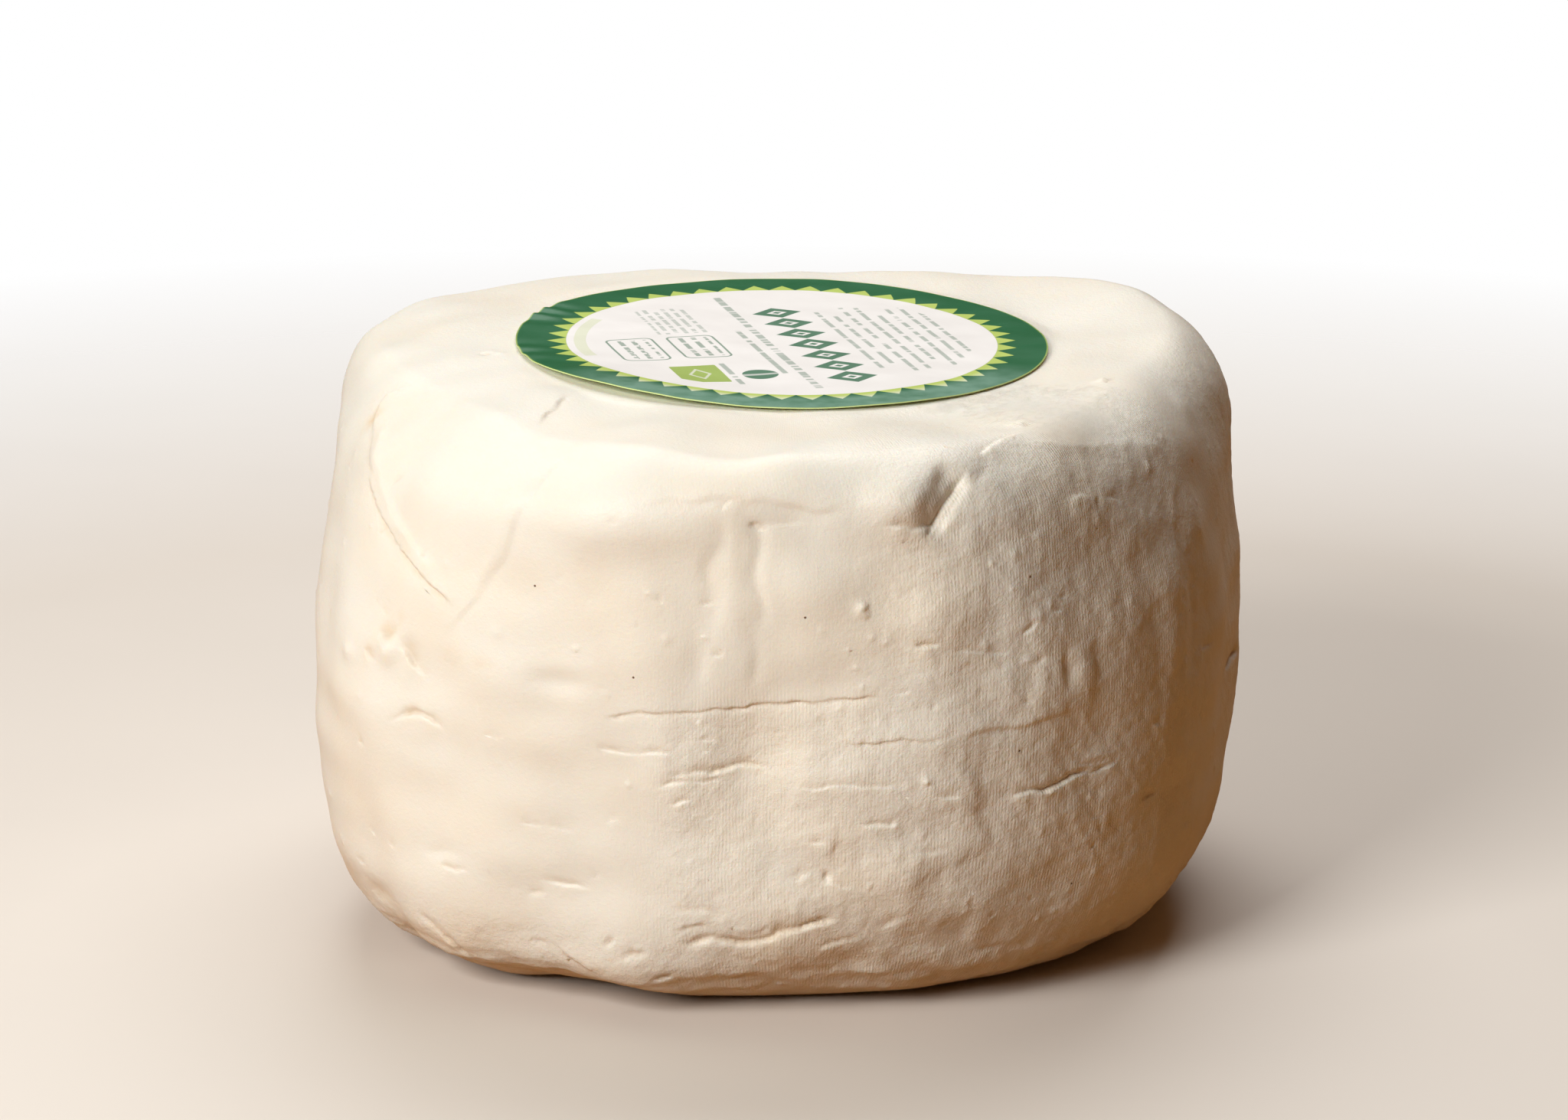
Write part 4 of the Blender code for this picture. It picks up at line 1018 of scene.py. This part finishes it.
def make_label(wheel, size):
    """The paper label: a thin wavy disc with its print."""
    box_low, box_high = (np.array(corner_point) for corner_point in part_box("label"))
    middle = 0.5 * (box_low + box_high)
    turn = np.linspace(0.0, TURN, LABEL_COLUMNS, endpoint=False)
    field = np.linspace(0.0, LABEL_RIM_FROM, LABEL_FIELD_RINGS + 1)[1:]
    rim = np.linspace(LABEL_RIM_FROM, 1.0, LABEL_RIM_RINGS + 1)[1:]
    reach = np.concatenate([field, rim]) * size.radius
    x = reach[:, None] * np.cos(turn)
    y = reach[:, None] * np.sin(turn)
    under = np.stack([x + middle[0], y + middle[1], label_height(wheel, size, x, y)], axis=-1)
    faint = layered(under.reshape(-1, 3), PAPER_UNEVEN).reshape(x.shape)
    under[..., 2] = np.minimum(under[..., 2] + faint, box_high[2] - size.thickness)
    thickness = np.array([0.0, 0.0, size.thickness])
    centre = np.array([middle[0], middle[1], label_height(wheel, size, 0.0, 0.0)])
    grid = np.concatenate([under, (under + thickness)[::-1]])
    mesh = closed_mesh("paper_label", grid, centre, centre + thickness)
    mesh.set_sharp_from_angle(angle=SHARP_FOLD)
    label = new_object("paper_label", mesh)
    mesh.materials.append(print_material(size, middle))
    mesh.materials.append(edge_material(size))
    for face in mesh.polygons:
        face.material_index = int(face.normal.z < CUT_EDGE_SLOPE)
    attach(label, "root")
    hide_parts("label")


# -------------------------------------------------------------------------------------------- materials


class Formula:
    """A number inside a material, so that a pattern can be written as a formula."""

    def __init__(self, tree, socket):
        self.tree = tree
        self.socket = socket

    def math(self, operation, *others, clamp=False):
        """The outcome of one sum with this number and the others."""
        node = self.tree.nodes.new("ShaderNodeMath")
        node.operation = operation
        node.use_clamp = clamp
        for place, value in zip(node.inputs, (self, *others)):
            feed(self.tree, place, value)
        return Formula(self.tree, node.outputs[0])

    def __add__(self, other):
        return self.math("ADD", other)

    def __sub__(self, other):
        return self.math("SUBTRACT", other)

    def __mul__(self, other):
        return self.math("MULTIPLY", other)

    __radd__ = __add__
    __rmul__ = __mul__

    def __rsub__(self, other):
        return (self * -1.0) + other

    def __abs__(self):
        return self.math("ABSOLUTE")

    def most(self, other):
        """This number or the other, whichever is more."""
        return self.math("MAXIMUM", other)

    def clamped(self):
        """The number kept from 0 to 1."""
        return self.math("ADD", 0.0, clamp=True)

    def over(self, edge, soft):
        """1 where the number is over the edge, 0 under it, with a soft step between."""
        return ((self - edge) * (1.0 / soft) + 0.5).clamped()

    def under(self, edge, soft):
        """1 where the number is under the edge, 0 over it."""
        return 1.0 - self.over(edge, soft)

    def within(self, low, high, soft):
        """1 between low and high, 0 outside."""
        return self.over(low, soft) * self.under(high, soft)


def feed(tree, place, value):
    """Give an input a number or the outcome of a formula."""
    if isinstance(value, Formula):
        tree.links.new(value.socket, place)
    else:
        place.default_value = value


def empty_material(name):
    """A new material with one Principled shader."""
    material = bpy.data.materials.new(name)
    material.use_nodes = True
    return material, material.node_tree, material.node_tree.nodes["Principled BSDF"]


def object_place(tree):
    """The three coordinates of the shaded point, in metres."""
    node = tree.nodes.new("ShaderNodeTexCoord")
    split = tree.nodes.new("ShaderNodeSeparateXYZ")
    tree.links.new(node.outputs["Object"], split.inputs[0])
    return node.outputs["Object"], *(Formula(tree, output) for output in split.outputs)


def vertex_note(tree, name):
    """A number stored on the mesh."""
    node = tree.nodes.new("ShaderNodeAttribute")
    node.attribute_name = name
    return Formula(tree, node.outputs["Fac"])


def noise(tree, place, size, detail=2.0, roughness=0.5):
    """Cloudy noise whose patches are about the given size in metres."""
    node = tree.nodes.new("ShaderNodeTexNoise")
    node.inputs["Scale"].default_value = 1.0 / size
    node.inputs["Detail"].default_value = detail
    node.inputs["Roughness"].default_value = roughness
    tree.links.new(place, node.inputs["Vector"])
    return Formula(tree, node.outputs["Fac"])


def chance(tree, number):
    """A random number from 0 to 1 for each whole number."""
    node = tree.nodes.new("ShaderNodeTexWhiteNoise")
    node.noise_dimensions = "1D"
    feed(tree, node.inputs["W"], number)
    return Formula(tree, node.outputs["Value"])


def plain(tree, shade):
    """A colour that is the same everywhere, as a socket."""
    node = tree.nodes.new("ShaderNodeRGB")
    node.outputs[0].default_value = (*shade, 1.0)
    return node.outputs[0]


def blended(tree, portion, first, second):
    """The first colour where portion is 0 and the second where it is 1; each a colour or a socket."""
    node = tree.nodes.new("ShaderNodeMix")
    node.data_type = "RGBA"
    feed(tree, node.inputs["Factor"], portion)
    for place, shade in (("A", first), ("B", second)):
        socket = shade if isinstance(shade, bpy.types.NodeSocket) else plain(tree, shade)
        tree.links.new(socket, node.inputs[place])
    return node.outputs["Result"]


def raise_surface(tree, shader, height):
    """Bump the surface by a height in metres."""
    node = tree.nodes.new("ShaderNodeBump")
    node.inputs["Strength"].default_value = 1.0
    node.inputs["Distance"].default_value = 1.0
    feed(tree, node.inputs["Height"], height)
    tree.links.new(node.outputs[0], shader.inputs["Normal"])


def pinhole_mask(tree, turn, up):
    """1 inside the pinholes."""
    mask = None
    for degrees, height in PINHOLES:
        angle = math.radians(degrees if degrees < 180.0 else degrees - 360.0)
        across = (turn - angle) * PINHOLE_ARM
        rise = up - height * MM
        hole = (across * across + rise * rise).math("SQRT").under(PINHOLE_RADIUS, PINHOLE_SOFT)
        mask = hole if mask is None else mask.most(hole)
    return mask


def thread_marks(tree, look, place, turn, up, patchy):
    """The cloth's threads, beaded along their length and broken into patches."""
    drift = noise(tree, place, 9.0 * MM, detail=1.0)
    slant = (up - SLANT_FROM).most(0.0) * SLANT
    upright = (turn * float(look.ribs) + drift * THREAD_DRIFT + slant).math("SINE")
    beaded = noise(tree, place, 0.55 * MM, detail=0.0) * 1.4 + 0.1
    broken = (noise(tree, place, 2.2 * MM, detail=1.0) * 2.6 - 0.7).clamped() * 0.85 + 0.15
    patches = (patchy * 4.0 - 1.1).clamped()
    shown = vertex_note(tree, "cloth") * patches + vertex_note(tree, "shoulder") * SHOULDER_BITE
    return upright * beaded * broken * shown


def skin_material(look):
    """Cream curd with a satin skin: threads and grain as fine relief, painted brown shade in the creases and
    painted dark shade in the pinholes.
    """
    material, tree, shader = empty_material("ricotta_skin")
    place, x, y, up = object_place(tree)
    turn = y.math("ARCTAN2", x)
    rough = vertex_note(tree, "crumbly")
    pores = pinhole_mask(tree, turn, up)
    patchy = noise(tree, place, 13.0 * MM, detail=2.0)
    threads = thread_marks(tree, look, place, turn, up, patchy)
    grain = noise(tree, place, 0.8 * MM, detail=3.0, roughness=0.6) - 0.5
    fine = noise(tree, place, 0.25 * MM, detail=1.0) - 0.5
    height = threads * look.rib_depth + grain * (rough * 0.8 + 0.38) * look.grain_depth
    height = height + fine * (FINE_GRAIN * look.grain_depth) * (rough * 0.7 + 0.3) - pores * PINHOLE_DEPTH
    raise_surface(tree, shader, height)
    clouds = noise(tree, place, 26.0 * MM, detail=3.0, roughness=0.55)
    specks = noise(tree, place, 1.6 * MM, detail=2.0)
    stained = (vertex_note(tree, "stain") * (specks * 1.2 + 0.4)).clamped() * 0.6
    tone = blended(tree, ((clouds - 0.42) * 3.0).clamped() * 0.6, look.skin, look.warm)
    tone = blended(tree, ((specks - 0.62) * 5.0).clamped() * rough * 0.25, tone, look.stain)
    tone = blended(tree, stained, tone, look.stain)
    # Painted shade in the creases.
    tone = blended(tree, (vertex_note(tree, "crease_shade") * 0.60).clamped(), tone, look.crease_shade)
    # Painted shade inside the pinholes.
    tone = blended(tree, pores, tone, look.pinhole_shade)
    tree.links.new(tone, shader.inputs["Base Color"])
    feed(tree, shader.inputs["Roughness"], (grain * 0.3 + look.roughness + patchy * 0.12 - 0.06).clamped())
    shader.inputs["Specular IOR Level"].default_value = SKIN_SHINE
    shader.inputs["Subsurface Weight"].default_value = look.translucency
    shader.inputs["Subsurface Radius"].default_value = SCATTER_BY_COLOUR
    shader.inputs["Subsurface Scale"].default_value = look.scatter
    return material


class LabelSpot:
    """Where a point lies on the label, in mm: across and along the rows, and its reach and turn."""

    def __init__(self, tree, middle, row_turn):
        self.place, x, y, _ = object_place(tree)
        east = (x - float(middle[0])) * (1.0 / MM)
        north = (y - float(middle[1])) * (1.0 / MM)
        self.across = east * math.cos(row_turn) + north * math.sin(row_turn)
        self.along = east * math.sin(row_turn) - north * math.cos(row_turn)
        self.reach = (east * east + north * north).math("SQRT")
        self.turn = north.math("ARCTAN2", east)

    def outside(self, across, along, half_across, half_along, rounding):
        """Distance outside a rounded box, below zero inside it."""
        x = (abs(self.across - across) - (half_across - rounding)).most(0.0)
        y = (abs(self.along - along) - (half_along - rounding)).most(0.0)
        return (x * x + y * y).math("SQRT") - rounding


def word_gaps(tree, along, row, size):
    """Breaks a row into pieces of uneven length."""
    node = tree.nodes.new("ShaderNodeTexNoise")
    node.noise_dimensions = "2D"
    join = tree.nodes.new("ShaderNodeCombineXYZ")
    feed(tree, join.inputs[0], along)
    feed(tree, join.inputs[1], row * 7.3)
    tree.links.new(join.outputs[0], node.inputs["Vector"])
    node.inputs["Scale"].default_value = 1.0 / size
    node.inputs["Detail"].default_value = 1.0
    return Formula(tree, node.outputs["Fac"]).over(0.43, 0.08)


def printed_rows(tree, spot):
    """Rows of short dashes: eight thin ones, a few single ones and a soft block of fine ones."""
    across, along = spot.across, spot.along
    row = ((across - ROWS_FROM) * (1.0 / ROWS_PITCH) + 0.5).math("FLOOR")
    off_row = abs(across - ROWS_FROM - row * ROWS_PITCH)
    rows = off_row.under(ROW_HALF, 0.25) * across.within(ROWS_FROM - 1.5, ROWS_TO, 0.1)
    ends = abs(along - ROW_MIDDLE).under(chance(tree, row) * ROW_SPREAD + ROW_SHORTEST, 0.3)
    ink = rows * ends * word_gaps(tree, along, row, 2.2) * 0.52
    for index, (at, low, high, half) in enumerate(SINGLE_ROWS):
        line = abs(across - at).under(half, 0.25) * along.within(low, high, 0.3)
        ink = ink.most(line * word_gaps(tree, along, 20.0 + index, 1.8) * 0.55)
    number = across * (1.0 / BLOCK_PITCH)
    fine_rows = spot.outside(*BLOCK, 0.5).under(0.0, 0.4) * (number * TURN).math("SINE").over(0.1, 0.6)
    return ink.most(fine_rows * word_gaps(tree, along, number.math("FLOOR"), 1.6) * 0.40)


def printed_shapes(tree, spot):
    """The larger shapes: a chain of lozenges, a small disc and two framed panels with a few bars in them."""
    across, along = spot.across, spot.along
    pitch = (BAND_TO - BAND_FROM) / BAND_MOTIFS
    motif = ((along - BAND_FROM) * (1.0 / pitch)).math("FRACT")
    lozenge = abs(motif - 0.5) * (1.0 / LOZENGE_SHARE) + abs(across - BAND_AT) * (1.0 / BAND_HALF)
    chain = lozenge.within(0.42, 1.02, 0.06).most(lozenge.under(0.20, 0.06))
    ink = chain * along.within(BAND_FROM, BAND_TO, 0.1)
    disc = spot.outside(*DISC, DISC[2], DISC[2]).under(0.0, CRISP)
    ink = ink.most(disc * (1.0 - abs(along - DISC[1]).under(0.6, 0.1) * 0.55))
    for index, panel in enumerate(FRAMES):
        outside = spot.outside(*panel, FRAME_ROUNDING)
        wave = ((across - panel[0]) * (TURN / BAR_PITCH)).math("SINE")
        bars = outside.under(-1.2, 0.2) * wave.over(0.35, 0.5)
        number = (across * (1.0 / BAR_PITCH)).math("FLOOR") + 40.0 + index
        ink = ink.most(abs(outside).under(0.22, 0.15) * 0.8)
        ink = ink.most(bars * word_gaps(tree, along, number, 1.5) * 0.65)
    return ink


def field_tone(tree, look, spot, wear_and_sheen):
    """The white field: the pale arc, the rows and shapes, and the light green panel with its petal."""
    inside = spot.reach.under(PRINT_RADIUS, CRISP)
    arc_turn = abs(abs(spot.turn) - math.pi)
    arc = spot.reach.within(ARC_FROM, ARC_TO, CRISP) * arc_turn.under(ARC_HALF_TURN, 0.02)
    panel = spot.outside(*PANEL, 0.4).under(0.0, CRISP) * inside
    petal = (abs(spot.along - PANEL[1]) * 0.30 + abs(spot.across - PANEL[0]) * 0.55).within(0.9, 1.25, 0.12)
    ink = printed_rows(tree, spot).most(printed_shapes(tree, spot)) * inside
    tone = blended(tree, wear_and_sheen * 0.10, look.paper, WORN_PAPER)
    tone = blended(tree, arc * 0.30, tone, look.ray)
    tone = blended(tree, ink, tone, look.ink)
    tone = blended(tree, panel, tone, look.leaf)
    return blended(tree, panel * petal * 0.6, tone, look.paper)


def border_tone(tree, look, spot, wear_and_sheen):
    """The green border with its ring of rays, with a painted pale sheen on both in front."""
    field, tip = look.field_radius / MM, look.ray_radius / MM
    tooth = abs((spot.turn * (look.rays / TURN)).math("FRACT") * 2.0 - 1.0)
    tooth_edge = (1.0 - tooth) * (tip - field) + field
    rays = spot.reach.over(field, CRISP) * (spot.reach - tooth_edge).under(0.0, 0.25)
    # Painted sheen: the border and its rays grow paler towards the front, in patches of the wear noise.
    sheened = abs(spot.turn - PAINTED_SHEEN_AT).under(PAINTED_SHEEN_HALF_TURN, 0.35) * spot.reach.over(field + 2.5, 3.0)
    tone = blended(tree, (wear_and_sheen - 0.4).clamped() * 0.5, look.border, WORN_BORDER)
    tone = blended(tree, sheened * (wear_and_sheen * 1.8 - 0.05).clamped(), tone, look.painted_sheen)
    tone = blended(tree, rays, tone, blended(tree, sheened * 0.75, look.ray, look.paper))
    # Painted light: a thin yellow-green line all round the paper's edge.
    return blended(tree, spot.reach.over(look.radius / MM - 0.25, 0.15) * 0.6, tone, look.ray)


def print_material(look, middle):
    """Glossy paper: a white field with rows of small marks, a ring of rays and a green border."""
    material, tree, shader = empty_material("label_print")
    spot = LabelSpot(tree, middle, look.row_turn)
    wear_and_sheen = noise(tree, spot.place, 5.0 * MM, detail=3.0)
    on_field = spot.reach.under(look.field_radius / MM, CRISP)
    tone = blended(tree, on_field, border_tone(tree, look, spot, wear_and_sheen), field_tone(tree, look, spot, wear_and_sheen))
    tree.links.new(tone, shader.inputs["Base Color"])
    dents = noise(tree, spot.place, 7.0 * MM, detail=2.0)
    fibre = noise(tree, spot.place, 0.35 * MM, detail=1.0)
    raise_surface(tree, shader, dents * PAPER_DENTS + fibre * PAPER_FIBRE)
    feed(tree, shader.inputs["Roughness"], (dents * 0.12 + look.roughness - 0.05).clamped())
    shader.inputs["Specular IOR Level"].default_value = PAPER_SHINE
    return material


def edge_material(look):
    """The paper's cut edge and underside, with painted yellow-green light on them."""
    material, tree, shader = empty_material("label_edge")
    place, _, _, _ = object_place(tree)
    fibre = noise(tree, place, 0.8 * MM, detail=2.0)
    tree.links.new(blended(tree, fibre * 0.4, look.ray, look.paper), shader.inputs["Base Color"])
    feed(tree, shader.inputs["Roughness"], fibre * 0.2 + 0.6)
    return material


# ------------------------------------------------------------------------------------------------ stage


def floor_material(look):
    """A pale matt floor that fades into the backdrop, and throws a warmer light on the wheel."""
    material, tree, shader = empty_material("floor")
    place, x, y, _ = object_place(tree)
    mottled = noise(tree, place, 60.0 * MM, detail=2.0)
    tone = blended(tree, mottled * 0.12, look.floor, MOTTLED_FLOOR)
    eye = Formula(tree, tree.nodes.new("ShaderNodeLightPath").outputs["Is Camera Ray"])
    tree.links.new(blended(tree, eye, look.glow, tone), shader.inputs["Base Color"])
    feed(tree, shader.inputs["Roughness"], mottled * 0.2 + 0.5)
    reach = (x * x + y * y).math("SQRT")
    spread = look.floor_radius * FLOOR_FADE
    feed(tree, shader.inputs["Alpha"], reach.under(look.floor_radius - 0.5 * spread, spread))
    return material


def make_floor(look):
    """A round floor under the wheel, wide enough that its rim has faded out."""
    turn = np.linspace(0.0, TURN, FLOOR_SIDES, endpoint=False)
    rim = [(look.floor_radius * math.cos(angle), look.floor_radius * math.sin(angle), 0.0) for angle in turn]
    mesh = bpy.data.meshes.new("floor")
    mesh.from_pydata(rim, [], [tuple(range(len(rim)))])
    floor = new_object("floor", mesh)
    mesh.materials.append(floor_material(look))


def light_the_room(look):
    """A white backdrop for the eye, and a weak warm light from all round."""
    world = bpy.data.worlds.new("room")
    bpy.context.scene.world = world
    world.use_nodes = True
    tree = world.node_tree
    room = tree.nodes["Background"]
    room.inputs["Color"].default_value = (*look.room, 1.0)
    room.inputs["Strength"].default_value = look.room_strength
    backdrop = tree.nodes.new("ShaderNodeBackground")
    backdrop.inputs["Color"].default_value = (*look.backdrop, 1.0)
    eye = tree.nodes.new("ShaderNodeLightPath")
    either = tree.nodes.new("ShaderNodeMixShader")
    tree.links.new(eye.outputs["Is Camera Ray"], either.inputs["Fac"])
    tree.links.new(room.outputs[0], either.inputs[1])
    tree.links.new(backdrop.outputs[0], either.inputs[2])
    tree.links.new(either.outputs[0], tree.nodes["World Output"].inputs["Surface"])


def make_lights():
    """The studio's soft lights, each turned to the wheel."""
    for name, degrees, up, distance, side, watts in LIGHTS:
        light = bpy.data.lights.new(name, "AREA")
        light.shape = "SQUARE"
        light.size = side
        light.energy = watts
        lamp = bpy.data.objects.new(name, light)
        bpy.context.scene.collection.objects.link(lamp)
        turn, rise = math.radians(degrees), math.radians(up)
        out = distance * math.cos(rise)
        lamp.location = (out * math.cos(turn), out * math.sin(turn), LIGHTS_AIM + distance * math.sin(rise))
        lamp.rotation_euler = (math.pi / 2.0 - rise, 0.0, turn + math.pi / 2.0)
        lamp.visible_camera = False


def make_camera(look):
    """A long lens from the front, looking a little down."""
    camera = bpy.data.objects.new("camera", bpy.data.cameras.new("camera"))
    bpy.context.scene.collection.objects.link(camera)
    camera.location = (look.camera_side, -look.camera_distance, look.camera_height)
    camera.rotation_euler = (math.pi / 2.0 - look.camera_pitch, 0.0, 0.0)
    camera.data.lens = look.lens
    camera.data.sensor_width = SENSOR_WIDTH
    bpy.context.scene.camera = camera


# ------------------------------------------------------------------------------------------- the add-on


class RICOTTA_OT_wheel(bpy.types.Operator):
    """Make the pressed wheel of cheese with its creases, dents and cloth marks"""

    bl_idname = "ricotta.wheel"
    bl_label = "Make the wheel"

    def execute(self, context):
        """Make it from the settings in the scene."""
        make_wheel(context.scene.ricotta_wheel, context.scene.ricotta_label.radius)
        return {"FINISHED"}


class RICOTTA_OT_label(bpy.types.Operator):
    """Make the round paper label that lies on the crown"""

    bl_idname = "ricotta.label"
    bl_label = "Make the label"

    def execute(self, context):
        """Make it on the wheel that the settings describe."""
        make_label(context.scene.ricotta_wheel, context.scene.ricotta_label)
        return {"FINISHED"}


class RICOTTA_OT_stage(bpy.types.Operator):
    """Make the floor, the backdrop, the lights and the camera"""

    bl_idname = "ricotta.stage"
    bl_label = "Make the stage"

    def execute(self, context):
        """Make all four from the settings in the scene."""
        look = context.scene.ricotta_stage
        make_floor(look)
        light_the_room(look)
        make_lights()
        make_camera(look)
        context.scene.view_settings.view_transform = "Standard"
        return {"FINISHED"}


class RICOTTA_PT_panel(bpy.types.Panel):
    """The operators and settings of the ricotta"""

    bl_idname = "RICOTTA_PT_panel"
    bl_label = "Aged ricotta"
    bl_space_type = "VIEW_3D"
    bl_region_type = "UI"
    bl_category = "Ricotta"

    def draw(self, context):
        """One box for each operator, with its settings."""
        for operator, settings in (
            ("ricotta.wheel", context.scene.ricotta_wheel),
            ("ricotta.label", context.scene.ricotta_label),
            ("ricotta.stage", context.scene.ricotta_stage),
        ):
            box = self.layout.box()
            box.operator(operator)
            for name in settings.bl_rna.properties.keys():
                if name not in ("rna_type", "name"):
                    box.prop(settings, name)


CLASSES = (
    RicottaWheelSettings,
    RicottaLabelSettings,
    RicottaStageSettings,
    RICOTTA_OT_wheel,
    RICOTTA_OT_label,
    RICOTTA_OT_stage,
    RICOTTA_PT_panel,
)


def register():
    """Register the classes and hang the settings on the scene."""
    for made in CLASSES:
        bpy.utils.register_class(made)
    bpy.types.Scene.ricotta_wheel = PointerProperty(type=RicottaWheelSettings)
    bpy.types.Scene.ricotta_label = PointerProperty(type=RicottaLabelSettings)
    bpy.types.Scene.ricotta_stage = PointerProperty(type=RicottaStageSettings)


def unregister():
    """Take the settings and the classes away again."""
    del bpy.types.Scene.ricotta_stage
    del bpy.types.Scene.ricotta_label
    del bpy.types.Scene.ricotta_wheel
    for made in reversed(CLASSES):
        bpy.utils.unregister_class(made)


def main():
    """Make the pieces and the stage."""
    register()
    bpy.ops.ricotta.wheel()
    bpy.ops.ricotta.label()
    bpy.ops.ricotta.stage()


if __name__ == "__main__":
    main()
